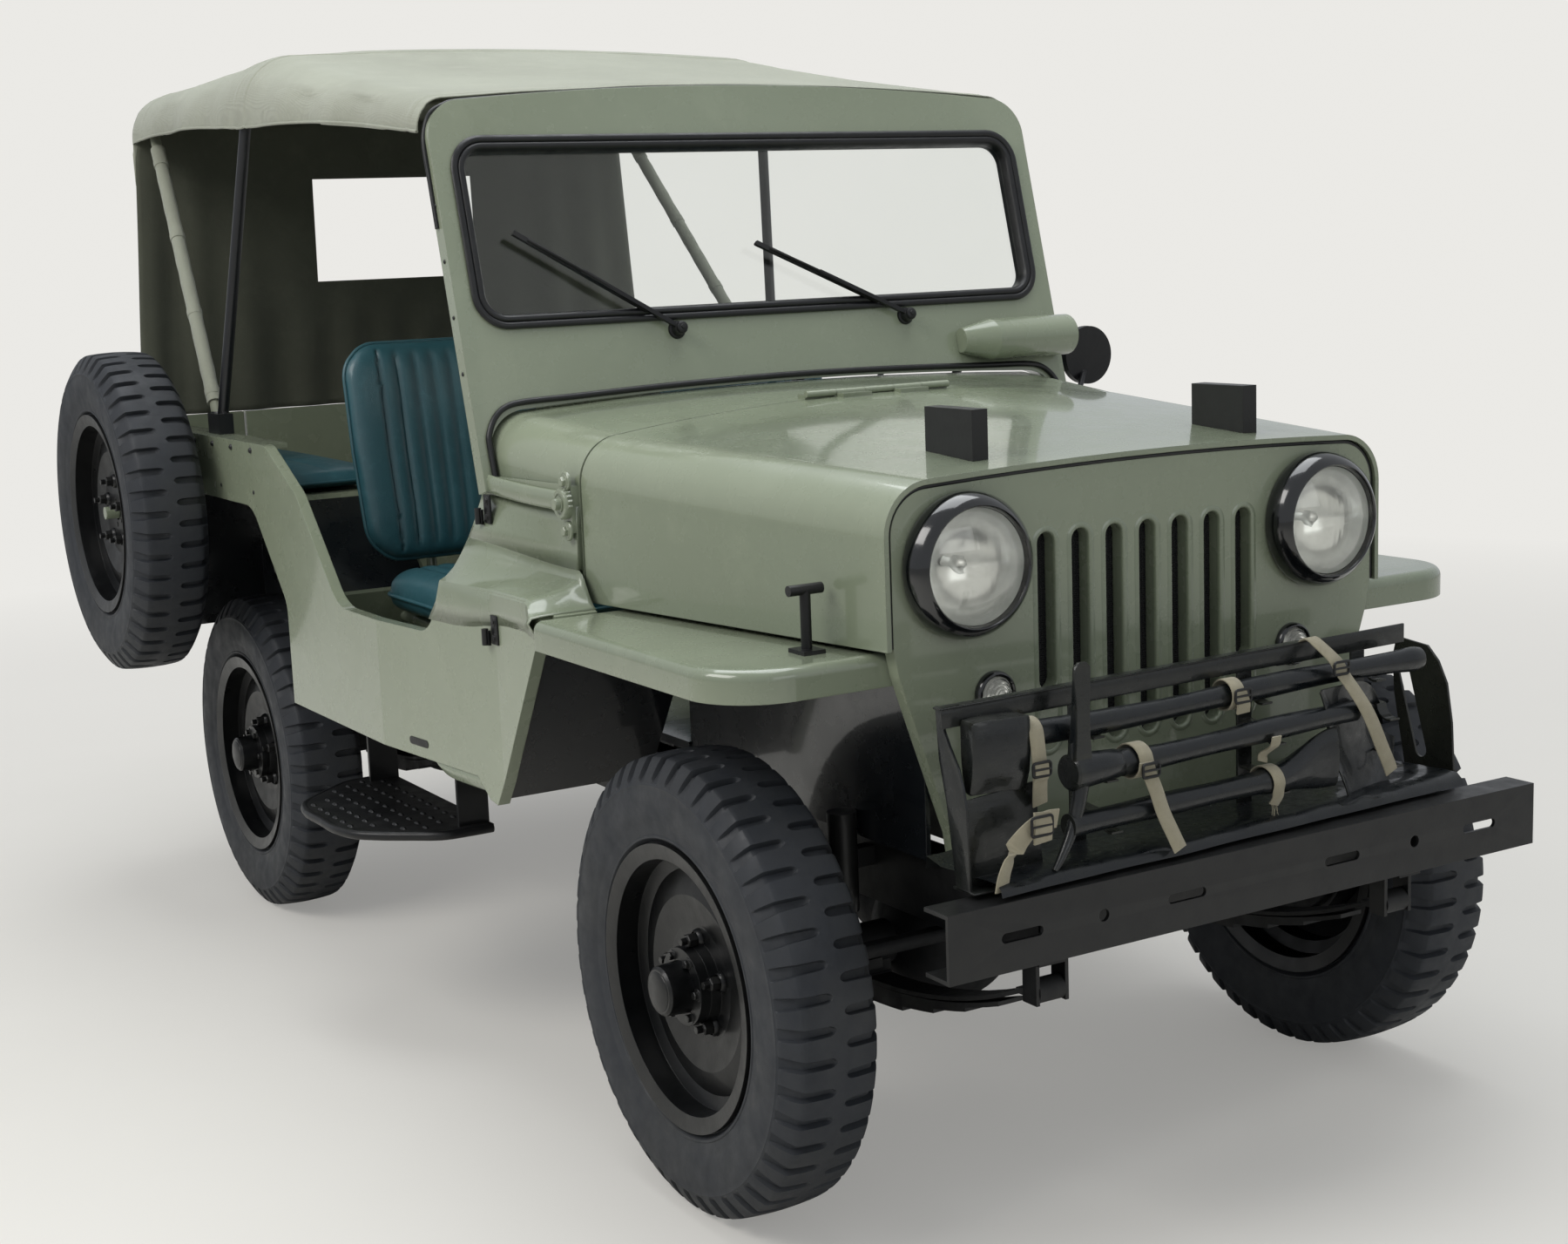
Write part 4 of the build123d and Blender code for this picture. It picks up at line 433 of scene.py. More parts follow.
def tube(bm, points, radius, segments=12, caps=True):
    """A pipe along the points; radius is a number or a function of the part of the way."""
    points = [Vector(p) for p in points]
    rings = []
    x = None
    for i, p in enumerate(points):
        z = (points[min(len(points) - 1, i + 1)] - points[max(0, i - 1)]).normalized()
        if x is None:
            x = z.orthogonal().normalized()
        x = (x - z * x.dot(z)).normalized()
        y = z.cross(x)
        r = radius(i / (len(points) - 1)) if callable(radius) else radius
        rings.append([p + (x * u + y * v) * r for u, v in circle(segments)])
    made = grid(bm, rings, close_u=True)
    if caps:
        bm.faces.new(list(reversed(made[0])))
        bm.faces.new(made[-1])


def smooth_path(points, steps):
    """Catmull-Rom through the points."""
    p = [Vector(q) for q in points]
    p = [p[0] * 2 - p[1], *p, p[-1] * 2 - p[-2]]
    out = []
    for i in range(1, len(p) - 2):
        for s in range(steps):
            t = s / steps
            out.append(0.5 * ((2 * p[i]) + (p[i + 1] - p[i - 1]) * t
                              + (2 * p[i - 1] - 5 * p[i] + 4 * p[i + 1] - p[i + 2]) * t * t
                              + (3 * p[i] - p[i - 1] - 3 * p[i + 1] + p[i + 2]) * t ** 3))
    out.append(p[-2])
    return out


def mirrored(points):
    """The points, and all but the last again on the other side, backwards."""
    return points + [(-a, b) for a, b in reversed(points[:-1])]


def bevel(bm, edges, width):
    bmesh.ops.bevel(bm, geom=list(edges), offset=width, segments=2, affect="EDGES", profile=0.5)


def plate(bm, outline, thick, place, rim=0.0):
    """outline in a plane, place maps (a, b, c) to a point; c goes through the thickness."""
    front = [bm.verts.new(place(a, b, 0)) for a, b in outline]
    back = [bm.verts.new(place(a, b, thick)) for a, b in outline]
    n = len(outline)
    faces = [bm.faces.new(front), bm.faces.new(list(reversed(back)))]
    for i in range(n):
        k = (i + 1) % n
        faces.append(bm.faces.new((front[i], back[i], back[k], front[k])))
    if rim:
        bevel(bm, {e for f in faces for e in f.edges}, rim)


def cuboid(bm, low, high, rim):
    verts = bmesh.ops.create_cube(bm, size=1.0)["verts"]
    for v in verts:
        v.co = Vector((low[i] + (v.co[i] + 0.5) * (high[i] - low[i]) for i in range(3)))
    bevel(bm, {e for v in verts for e in v.link_edges}, rim)


def rounded(width, height, radius, steps):
    """A rectangle with round corners."""
    out = []
    a, b = width / 2 - radius, height / 2 - radius
    for cx, cy, start in ((a, b, 0), (-a, b, 90), (-a, -b, 180), (a, -b, 270)):
        for k in range(steps + 1):
            turn = radians(start + 90 * k / steps)
            out.append((cx + radius * cos(turn), cy + radius * sin(turn)))
    return out


def chamfered(a, b):
    """A unit rectangle's outline with its corners cut."""
    return ((-1, -b), (-a, -1), (a, -1), (1, -b), (1, b), (a, 1), (-a, 1), (-1, b))


def ease(t):
    t = min(1.0, max(0.0, t))
    return t * t * (3 - 2 * t)


# ---------- camera, floor and light ----------
CAMERA_PLACE = (-2.1805, -3.9624, 1.4605)
FOCAL_PIXELS, PICTURE_WIDTH, SENSOR = 2562, 1800, 36
yaw, pitch, roll = radians(30.88), radians(-9.72), radians(-2.21)
forward = Vector((sin(yaw) * cos(pitch), cos(yaw) * cos(pitch), sin(pitch)))
level = Vector((cos(yaw), -sin(yaw), 0))
upright = level.cross(forward)
turned = Matrix((level * cos(roll) + upright * sin(roll), -level * sin(roll) + upright * cos(roll), -forward))
camera = put("camera", bpy.data.cameras.new("camera"))
camera.matrix_world = Matrix.Translation(CAMERA_PLACE) @ turned.transposed().to_4x4()
camera.data.lens = SENSOR * FOCAL_PIXELS / PICTURE_WIDTH
camera.data.sensor_width = SENSOR
camera.data.clip_end = 100
bpy.context.scene.camera = camera

# the floor fades into the background with the distance
BACKGROUND = (0.83, 0.82, 0.79, 1)
FLOOR_HALF = 30
ground = Mat("floor", "d9d6cf", 0.75)
ground.blotch(0.8, 5, 0.55, 0.35, 0.7, 0.5, "cfccc5")
reach = ground.add("ShaderNodeVectorMath", {0: ground.co}, "Value", operation="LENGTH")
glow = ground.add("ShaderNodeEmission", {"Color": BACKGROUND}, "Emission")
seen = ground.add("ShaderNodeLightPath", {}, "Is Camera Ray")
fade = ground.math("MULTIPLY", ground.ramp(reach, 1.5, 6.5, 0.3, 1.0), seen)
blend = ground.add("ShaderNodeMixShader", {"Fac": fade, 1: ground.p.outputs["BSDF"], 2: glow}, "Shader")
feed(ground.t, ground.t.nodes["Material Output"], {"Surface": blend})
bm = bmesh.new()
grid(bm, [[(-FLOOR_HALF, y, 0), (FLOOR_HALF, y, 0)] for y in (-FLOOR_HALF, FLOOR_HALF)])
data = bpy.data.meshes.new("floor")
bm.to_mesh(data)
bm.free()
data.materials.append(ground.m)
put("floor", data)

world = bpy.data.worlds.new("world")
bpy.context.scene.world = world
world.use_nodes = True
tree = world.node_tree
sky = tree.nodes["Background"]
feed(tree, sky, {"Color": (0.83, 0.86, 0.9, 1), "Strength": 0.6})
plain = add_node(tree, "ShaderNodeBackground", {"Color": BACKGROUND, "Strength": 1.0}, "Background")
direct, through = (add_node(tree, "ShaderNodeLightPath", {}, ray) for ray in ("Is Camera Ray", "Is Transmission Ray"))
seen = add_node(tree, "ShaderNodeMath", {0: direct, 1: through}, "Value", operation="MAXIMUM")
mixed = add_node(tree, "ShaderNodeMixShader", {"Fac": seen, 1: sky.outputs["Background"], 2: plain}, "Shader")
feed(tree, tree.nodes["World Output"], {"Surface": mixed})


def area(name, place, target, size, power, colour):
    light = bpy.data.lights.new(name, "AREA")
    light.shape = "RECTANGLE"
    light.size, light.size_y = size
    light.energy = power
    light.color = colour
    made = put(name, light)
    made.location = place
    made.rotation_euler = (Vector(target) - Vector(place)).to_track_quat("-Z", "Y").to_euler()


area("key", (-4.1, -0.7, 4.3), (0, -0.4, 0.9), (3.4, 2.0), 128, (1.0, 0.98, 0.95))
area("top", (0.3, 0.2, 5.2), (0, 0, 0.8), (4.5, 3.4), 175, (0.95, 0.98, 1.0))
area("front", (0.6, -6.0, 2.4), (0, -0.8, 0.8), (3.0, 1.6), 18, (0.96, 0.98, 1.0))


# ---------- tyres ----------
def bare(*points):
    """Tread stations without a slot, from (across, radius) pairs."""
    return [(across, radius, radius, across, 0.0) for across, radius in points]


PITCHES = 48
PLAIN_SLOT = 0.0075
# across from the middle, lug radius, valley radius, valley across, half slot width
TREAD = [
    *bare((0.0, 0.355), (0.0055, 0.3549)),
    (0.008, 0.3549, 0.3546, 0.0082, 0.0012), (0.01, 0.3548, 0.352, 0.0104, 0.0042),
    (0.013, 0.3547, 0.3478, 0.0134, 0.0062), (0.018, 0.3545, 0.3452, 0.018, 0.0074),
    (0.028, 0.3541, 0.3443, 0.0278, 0.0078), (0.04, 0.3533, 0.3436, 0.0395, 0.0079),
    (0.052, 0.352, 0.3422, 0.0512, 0.0082), (0.058, 0.3508, 0.3405, 0.0566, 0.0086),
    (0.0602, 0.3495, 0.3392, 0.0586, 0.0088), (0.066, 0.342, 0.3325, 0.0636, 0.0095),
    (0.0722, 0.3325, 0.3245, 0.07, 0.0102), (0.078, 0.3225, 0.3175, 0.0765, 0.0108),
    (0.08, 0.318, 0.3152, 0.0794, 0.0112), (0.0806, 0.316, 0.3148, 0.08, 0.0112),
    *bare((0.0808, 0.313), (0.0822, 0.311), (0.0814, 0.3088), (0.0822, 0.303), (0.0825, 0.294), (0.0822, 0.285),
          (0.0812, 0.274), (0.0798, 0.264), (0.0778, 0.254), (0.077, 0.2525), (0.0764, 0.248), (0.0746, 0.24),
          (0.073, 0.234), (0.0742, 0.2325), (0.0738, 0.229), (0.07, 0.2262), (0.065, 0.2225), (0.063, 0.212),
          (0.06, 0.2045)),
]


def tyre_mesh():
    """Each pitch has five columns over a left slot, a plain one, five over a right slot, and a plain one."""
    pitch = 2 * pi / PITCHES
    rows = []
    for column in range(PITCHES * 12):
        cell, step = divmod(column, 12)
        slot_side = 0 if step % 6 == 5 else (1 if step < 6 else -1)
        local = step % 6 - 2
        base = cell * pitch + (0 if step < 6 else pitch / 2)
        row = []
        for side in SIDES:
            for across, lug_r, valley_r, valley_x, half in TREAD if side == 1 else reversed(TREAD[1:]):
                if slot_side == 0:
                    angle = base + pitch / 4
                    x, r = across, lug_r
                else:
                    cut = slot_side == side and half > 0
                    wide = half if cut else PLAIN_SLOT
                    inner = max(0.3 * wide, wide - 0.0022)
                    offset = {-2: -wide, -1: -inner, 0: 0, 1: inner, 2: wide}[local]
                    angle = base + offset / TYRE_R
                    x, r = (valley_x, valley_r) if cut and abs(local) < 2 else (across, lug_r)
                row.append(Vector((side * x, r * cos(angle), r * sin(angle))))
        rows.append(row)
    bm = bmesh.new()
    # the last column joins the first, and a plain band under the bead joins the two inner edges
    grid(bm, rows, close_u=True, close_v=True)
    return mesh_data("tyre", bm, TYRE, 38)


HUB = ((0.044, 0.062), (0.06, 0.06), (0.061, 0.04), (0.093, 0.036), (0.101, 0.03), (0.104, 0.022), (0.104, 0))
NUT_SEAT = ((0, 0.016), (0.004, 0.015), (0.007, 0.0125))
NUT = ((0.006, 0.011), (0.02, 0.011), (0.022, 0.0095), (0.022, 0.0062), (0.032, 0.006), (0.0325, 0))
WHEELS = (
    # name, side, x, y, z, body
    ("front_right", -1, -HALF_TRACK, FRONT_AXLE, TYRE_R, "road_wheel_front_right"),
    ("front_left", 1, HALF_TRACK, FRONT_AXLE, TYRE_R, "road_wheel_front_left"),
    ("rear_right", -1, -HALF_TRACK, REAR_AXLE, TYRE_R, "road_wheel_rear_right"),
    ("rear_left", 1, HALF_TRACK, REAR_AXLE, TYRE_R, "road_wheel_rear_left"),
    ("spare", -1, -0.867, at(2.18), 0.915, "vehicle"),
)
shared = tyre_mesh()
for name, side, x, y, z, body in WHEELS:
    tyre = put("tread_" + name, shared)
    tyre.location = (x, y, z)
    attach(tyre, body)
    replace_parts(tyre, "tyre_" + name)
    bm = bmesh.new()
    out = (side, 0, 0)

    def round_hub(count, radius, lift, start=0.0):
        return [(x + side * lift, y + radius * u, z + radius * v) for u, v in circle(count, start)]

    for centre in round_hub(5, 0.07, 0.0285, 0.35):
        lathe(bm, centre, out, NUT_SEAT, 20)
        lathe(bm, centre, out, NUT, 6)
    if name != "spare":
        for centre in round_hub(6, 0.049, 0.06):
            bolt(bm, centre, out, 0.0065, 0.008)
        lathe(bm, (x, y, z), out, HUB, 40)
    else:
        for centre in round_hub(5, 0.03, 0.0225):
            bolt(bm, centre, out, 0.006, 0.007)
    piece("nuts_" + name, bm, WHEEL_BLACK, 30, body)


# ---------- lamps ----------
def lens_disc(bm, centre, radius, edge, rise, thick, relief, rings=28, segments=72):
    """A domed glass disc facing the front, closed at the back; relief(x, z) moves its outside."""
    cx, cy, cz = centre
    layers = []
    for back in (0, 1):
        rows = []
        for i in range(1, rings + 1):
            q = i / rings
            row = []
            for u, v in circle(segments):
                x, z = radius * q * u, radius * q * v
                depth = edge + rise * (1 - q * q) + (-thick if back else relief(x, z) * min(1, 12 * (1 - q)))
                row.append((cx + x, cy - depth, cz + z))
            rows.append(row)
        layers.append(grid(bm, rows, close_u=True))
        pole = bm.verts.new((cx, cy - edge - rise - (-thick if back else relief(0, 0)), cz))
        ring = layers[-1][0]
        for k in range(segments):
            bm.faces.new((pole, ring[k], ring[(k + 1) % segments]))
    outer, inner = layers[0][-1], layers[1][-1]
    for k in range(segments):
        m = (k + 1) % segments
        bm.faces.new((outer[k], outer[m], inner[m], inner[k]))


def head_relief(x, z):
    """Upright flutes, weaker behind the middle bar."""
    flutes = 0.0005 * abs(sin(pi * x / 0.0105))
    bar = 0.0006 * (1 if abs(z) < 0.004 else 0)
    return flutes * (0.35 if abs(z) < 0.016 else 1.0) + bar


def small_relief(x, z):
    return 0.0009 * cos(2 * pi * sqrt(x * x + z * z) / 0.0048)


GRILLE_Y = at(-0.29)
HEAD_RING = ((0.0006, 0.1045), (0.006, 0.107), (0.014, 0.107), (0.026, 0.1045), (0.036, 0.099), (0.043, 0.0925),
             (0.0455, 0.0885), (0.044, 0.0865), (0.04, 0.0855), (0.03, 0.0848), (0.006, 0.0846), (0.0006, 0.1045))
HEAD_BOWL = ((0.004, 0.0845), (-0.05, 0.0845), (-0.094, 0.054), (-0.094, 0))
HEAD_MIRROR = ((0.032, 0.0842), (0.006, 0.0825), (-0.012, 0.074), (-0.03, 0.056), (-0.042, 0.034), (-0.047, 0.014),
               (-0.047, 0))
BULB = ((-0.046, 0.008), (-0.02, 0.008), (-0.018, 0.012), (-0.006, 0.012), (-0.001, 0.009), (0.001, 0.0))
SMALL_RING = ((0.0006, 0.0265), (0.0006, 0.0345), (0.006, 0.0345), (0.011, 0.0325), (0.0125, 0.03),
              (0.011, 0.0275), (0.0006, 0.0265))
SMALL_BOWL = ((0.002, 0.0262), (-0.029, 0.0262), (-0.029, 0))
SMALL_MIRROR = ((0.009, 0.0262), (-0.004, 0.022), (-0.014, 0.012), (-0.016, 0))
bm_ring, bm_glass, bm_mirror = bmesh.new(), bmesh.new(), bmesh.new()
for side in SIDES:
    origin = (side * 0.342, GRILLE_Y, 0.994)
    lathe(bm_ring, origin, FRONT, HEAD_RING, 72)
    lathe(bm_ring, origin, FRONT, HEAD_BOWL, 48)
    lathe(bm_mirror, origin, FRONT, HEAD_MIRROR, 64)
    lathe(bm_mirror, origin, FRONT, BULB, 24)
    lens_disc(bm_glass, origin, 0.0842, 0.034, 0.02, 0.003, head_relief)
    origin = (side * 0.292, GRILLE_Y, 0.799)
    lathe(bm_ring, origin, FRONT, SMALL_RING, 48)
    lathe(bm_ring, origin, FRONT, SMALL_BOWL, 32)
    lathe(bm_mirror, origin, FRONT, SMALL_MIRROR, 32)
    lens_disc(bm_glass, origin, 0.0265, 0.009, 0.015, 0.002, small_relief, 30, 48)
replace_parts(piece("lamp_rings", bm_ring, LAMP_BLACK, 40), "headlights", "parking_lamps")
piece("lamp_reflectors", bm_mirror, CHROME, 50)
piece("lamp_lenses", bm_glass, LENS, 60)

# ---------- windscreen ----------
RAKE = radians(14.5)


def scr(u, v, w):
    """A point in the windscreen's plane: across, up and out to the front."""
    return Vector((u, at(0.748) + v * sin(RAKE) - w * cos(RAKE), 1.15 + v * cos(RAKE) + w * sin(RAKE)))


SEAL = ((0.0, 0.0325), (-0.002, 0.0365), (0.001, 0.0395), (0.006, 0.0405), (0.0095, 0.0385), (0.011, 0.0365),
        (0.0125, 0.0385), (0.016, 0.0402), (0.021, 0.0385), (0.0245, 0.034), (0.025, 0.0205), (0.025, 0.0115),
        (0.0245, 0.002), (0.02, -0.004), (0.01, -0.006), (0.001, -0.004), (0.0, 0.0))
bm = bmesh.new()
grid(bm, [[scr(a, 0.3445 + b, w) for a, b in rounded(1.224 - 2 * d, 0.345 - 2 * d, 0.062 - d, 10)]
          for d, w in SEAL], close_u=True, close_v=True)
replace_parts(piece("seal_moulding", bm, RUBBER, 50), "windscreen_seal")

# piping round the frame's head, and the bead between the frame and the cowl
HEAD_PIPING = [(-0.647, 0.36), (-0.647, 0.44), (-0.647, 0.508), (-0.64, 0.541), (-0.6255, 0.5675), (-0.6, 0.5815),
               (-0.5705, 0.5885), (-0.45, 0.5975), (-0.3, 0.607), (-0.15, 0.6125), (0, 0.6145)]
FOOT_BEAD = [(-0.6245, -0.095), (-0.6255, -0.03), (-0.6225, -0.01), (-0.6075, 0.0165), (-0.583, 0.034),
             (-0.545, 0.0405), (-0.45, 0.0435), (-0.3, 0.049), (-0.15, 0.0525), (0, 0.054)]
bm = bmesh.new()
for points, out, radius in ((HEAD_PIPING, 0.013, 0.0045), (FOOT_BEAD, 0.036, 0.0055)):
    tube(bm, smooth_path([scr(a, b, out) for a, b in mirrored(points)], 6), radius, 10)
for side in SIDES:
    for v in (0.1, 0.2, 0.3, 0.4):
        dome(bm, scr(side * 0.6455, v, 0.016), (side, 0, 0), 0.004, 0.002)
piece("screen_piping", bm, RUBBER, 50)

# wiper pivots and blades' rubber
PIVOT = ((0, 0.017), (0.004, 0.0165), (0.006, 0.013), (0.02, 0.0115), (0.026, 0.0105), (0.028, 0.007), (0.028, 0))
bm = bmesh.new()
normal = scr(0, 0, 1) - scr(0, 0, 0)
for pivot, end, end_v in ((-0.222, -0.52, 0.34), (0.282, -0.03, 0.305)):
    lathe(bm, scr(pivot, 0.152, 0.032), normal, PIVOT, 24)
    bolt(bm, scr(pivot, 0.152, 0.058), normal, 0.005, 0.005)
    a = Vector((pivot * 0.8 + end * 0.2, 0.152 * 0.8 + end_v * 0.2))
    b = Vector((end, end_v))
    tube(bm, [scr(*(a.lerp(b, t / 12)), 0.0375) for t in range(13)], 0.0028, 8)
    tube(bm, [scr(*(a.lerp(b, 0.1 + 0.8 * t / 12)), 0.0475 + 0.004 * sin(pi * t / 12)) for t in range(13)], 0.0026, 8)
    for t in (0.12, 0.38, 0.62, 0.88):
        q = a.lerp(b, t)
        tube(bm, [scr(*q, 0.0375), scr(*q, 0.0485)], 0.0022, 6)
piece("wiper_fittings", bm, BLACK, 40)

# ---------- canopy ----------
STATIONS = (
    # y, half width, side edge, shoulder height, crown, shoulder radius
    (at(0.903), 0.653, 1.672, 1.7345, 0.022, 0.06),
    (at(1.845), 0.662, 1.735, 1.891, 0.014, 0.13),
    (at(2.672), 0.662, 1.75, 1.865, 0.014, 0.11),
)
BEND = STATIONS[1][0]
SEAMS = (BEND - 0.03, BEND + 0.03, at(2.6), at(0.935))
SIDE_STEPS, CORNER_STEPS, TOP_STEPS = 10, 12, 40


def roof_row(y):
    """One line of the roof across the car, from the right edge to the left."""
    first = y <= BEND
    a, b = STATIONS[:2] if first else STATIONS[1:]
    t = (y - a[0]) / (b[0] - a[0])
    half, edge, top, crown, corner = (p + (q - p) * t for p, q in zip(a[1:], b[1:]))
    bay = sin(pi * t)
    sag = (0.02 if first else 0.014) * bay
    edge += 0.014 * bay
    side_top, wide = top - corner, half - corner
    row = [(-half, edge + (side_top - edge) * k / SIDE_STEPS) for k in range(SIDE_STEPS)]
    for k in range(CORNER_STEPS):
        q = pi / 2 * k / CORNER_STEPS
        row.append((-half + corner * (1 - cos(q)), side_top + corner * sin(q)))
    flank = [(-x, z) for x, z in reversed(row)]
    for k in range(TOP_STEPS + 1):
        x = -wide + 2 * wide * k / TOP_STEPS
        row.append((x, top + crown * (1 - (x / wide) ** 2)))
    out = []
    for x, z in row + flank:
        z -= sag * min(1, 3.2 * (1 - abs(x) / half))
        side = max(0, 1 - (z - edge) / 0.13) if abs(x) > half - 0.02 else 0
        wrinkle = (noise.noise(Vector((x * 2.4, y * 5.5, 1.7))) * 0.0028
                   + noise.noise(Vector((x * 8, y * 11, 4.2))) * 0.0011)
        pull = 0.0022 * sin(y * 46 + x * 9) * max(0, 1 - abs(y - BEND) / 0.22) * (1 if abs(x) > 0.4 else 0.25)
        z += min(0, wrinkle + pull) * (0.4 if side else 1) - 0.0012
        x -= (0.007 * side * sin(y * 21) * bay + 0.004 * side + 0.003) * (1 if x > 0 else -1)
        ridge = 0.0012 if min(abs(y - q) for q in SEAMS) < 0.008 else 0
        out.append(Vector((x, y, z + ridge)))
    return out


ys = sorted({round(at(0.903) + 1.769 * k / 92, 4) for k in range(93)}
            | {round(q + d, 4) for q in SEAMS for d in (-0.0095, -0.0078, 0.0078, 0.0095)})
rows = [roof_row(y) for y in ys]
head, tail = rows[0], rows[-1]
# the front edge lies over the windscreen's head, and a flap hangs over the curtain
for forward, down in ((0.005, 0.0004), (0.0092, 0.0014)):
    rows.insert(0, [Vector((p.x, p.y - forward, p.z - down)) for p in head])
for back, down in ((0.0025, 0.006), (0.0035, 0.016), (0.0035, 0.03), (0.003, 0.062), (0.002, 0.102)):
    rows.append([Vector((p.x * 0.998, p.y + back, p.z - down * min(1, max(0.1, (p.z - 1.7) / 0.05)))) for p in tail])
bm = bmesh.new()
grid(bm, rows)
roof = piece("canopy_roof", bm, CANVAS, 75)
thicken(roof, "cloth", 0.0022)
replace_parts(roof, "canopy")

# rear curtain with its window, in the darker canvas that paints its shade
CURTAIN_LOW, CURTAIN_HIGH, CURTAIN_DROP, CURTAIN_HALF = 1.0885, 1.797, 0.7085, 0.66
WINDOW_HALF, WINDOW_LOW, WINDOW_HIGH = 0.215, 1.4, 1.655
WINDOW_MID, WINDOW_RISE = 1.5275, 0.1275
xs = sorted({round(-CURTAIN_HALF + 2 * CURTAIN_HALF * k / 110, 4) for k in range(111)} | {-WINDOW_HALF, WINDOW_HALF})
zs = sorted({round(CURTAIN_LOW + CURTAIN_DROP * k / 44, 4) for k in range(45)} | {WINDOW_LOW, WINDOW_HIGH})
bm = bmesh.new()
made = []
for z in zs:
    low = (CURTAIN_HIGH - z) / CURTAIN_DROP
    shrink = 1.0 - 0.045 * ((z - 1.7) / 0.097) ** 2 if z > 1.7 else 1.0
    wide = (0.65 + 0.04 * low) / CURTAIN_HALF
    row = []
    for x in xs:
        away = max(abs(x) / WINDOW_HALF, abs(z - WINDOW_MID) / WINDOW_RISE) - 1.0
        still = max(0.0, min(1.0, away)) if abs(x) < 0.43 else 1.0
        fold = (0.0085 * sin(x * 55 + 1.2 * sin(x * 9) + 0.5 * z) + 0.004 * sin(x * 23 + 2)) * low ** 0.7 * still
        y = at(2.6605) + fold + 0.003 * noise.noise(Vector((x * 4, z * 4, 2.0)))
        row.append(bm.verts.new((x * wide * shrink, min(y, at(2.669)), z)))
    made.append(row)
for i in range(len(zs) - 1):
    for j in range(len(xs) - 1):
        inside = xs[j] >= -WINDOW_HALF and xs[j + 1] <= WINDOW_HALF
        if not (inside and zs[i] >= WINDOW_LOW and zs[i + 1] <= WINDOW_HIGH):
            bm.faces.new((made[i][j], made[i][j + 1], made[i + 1][j + 1], made[i + 1][j]))
for v in [v for v in bm.verts if not v.link_faces]:
    bm.verts.remove(v)
curtain = piece("canopy_curtain", bm, SHADED_CURTAIN, 75)
thicken(curtain, "cloth", 0.002)
bm = bmesh.new()
for d, r in ((0.01, 0.0022), (0.03, 0.0016)):
    outline = rounded(2 * WINDOW_HALF + 2 * d, 2 * WINDOW_RISE + 2 * d, 0.012 + d, 4)
    loop = [Vector((a, at(2.662), WINDOW_MID + b)) for a, b in outline]
    tube(bm, loop + loop[:1], r, 6, caps=False)
hem = piece("curtain_window_hem", bm, SHADED_CURTAIN, 60)
bm = bmesh.new()
for side in (0, -1):
    tube(bm, [row[side] + Vector((0, 0, 0.002)) for row in rows[:len(ys)]], 0.0032, 8)
edging = piece("canopy_edge_hem", bm, CANVAS, 60)


# ---------- seats ----------
def pad(bm, width, height, thick, corner, place, channels, span, depth, back=0.35, cells=72):
    """A crowned closed cushion: place(a, b, c) maps across, up and out; channels sewn over span of its middle."""
    half_w, half_h = width / 2, height / 2
    pitch = 2 * half_w * span / channels
    layers = []
    for front in (1, 0):
        rows = []
        for i in range(cells + 1):
            t = -1 + 2 * i / cells
            row = []
            for j in range(cells + 1):
                s = -1 + 2 * j / cells
                m = max(abs(s), abs(t))
                a, b = half_w * s, half_h * t
                if m > 1e-6:
                    # pull the square's corner in to the rounded outline
                    ux, uz = s / m * half_w, t / m * half_h
                    over_x, over_z = abs(ux) - (half_w - corner), abs(uz) - (half_h - corner)
                    scale = 1.0
                    if over_x > 0 and over_z > 0:
                        reach = sqrt(over_x ** 2 + over_z ** 2)
                        scale = 1 - max(0, reach - corner) / sqrt(ux ** 2 + uz ** 2) * 1.05
                    f = 1 + (scale - 1) * m ** 3
                    a, b = a * f, b * f
                rim = max(0.0, 1 - m ** 7)
                if front:
                    c = thick * 0.82 * rim ** 0.42 + thick * 0.18 * (1 - (s * s + t * t) / 2)
                    x = a / half_w
                    if abs(x) < span and abs(t) < 0.93:
                        roll = abs(sin(pi * ((a + half_w * span) / pitch)))
                        c += depth * (roll ** 0.55 - 1) * min(1.0, (0.93 - abs(t)) / 0.1)
                    elif abs(abs(x) - span) < 0.02 and abs(t) < 0.93:
                        c -= depth * 0.8
                else:
                    c = -thick * back * rim ** 0.5
                row.append(place(a, b, c if m < 1 else 0.0))
            rows.append(row)
        layers.append(rows)
    made = grid(bm, layers[0])
    other = [[None] * (cells + 1) for _ in range(cells + 1)]
    for i in range(cells + 1):
        for j in range(cells + 1):
            rim = i in (0, cells) or j in (0, cells)
            other[i][j] = made[i][j] if rim else bm.verts.new(layers[1][i][j])
    for i in range(cells):
        for j in range(cells):
            bm.faces.new((other[i][j], other[i + 1][j], other[i + 1][j + 1], other[i][j + 1]))
    edge = [layers[0][0][j] for j in range(cells)] + [layers[0][i][cells] for i in range(cells)]
    return edge + [layers[0][cells][j] for j in range(cells, 0, -1)] + [layers[0][i][0] for i in range(cells, 0, -1)]


def cushion(kind, piping, name, fill, lift, radius, **shape):
    """A padded piece with piping along its rim, moved by lift."""
    bm = bmesh.new()
    edge = pad(bm, **shape)
    made = piece(kind + name, bm, LEATHER, 60)
    bm = bmesh.new()
    tube(bm, [Vector(p) + lift for p in edge[::2] + edge[:1]], radius, 8, caps=False)
    piece(piping + name, bm, LEATHER, 60)
    return made


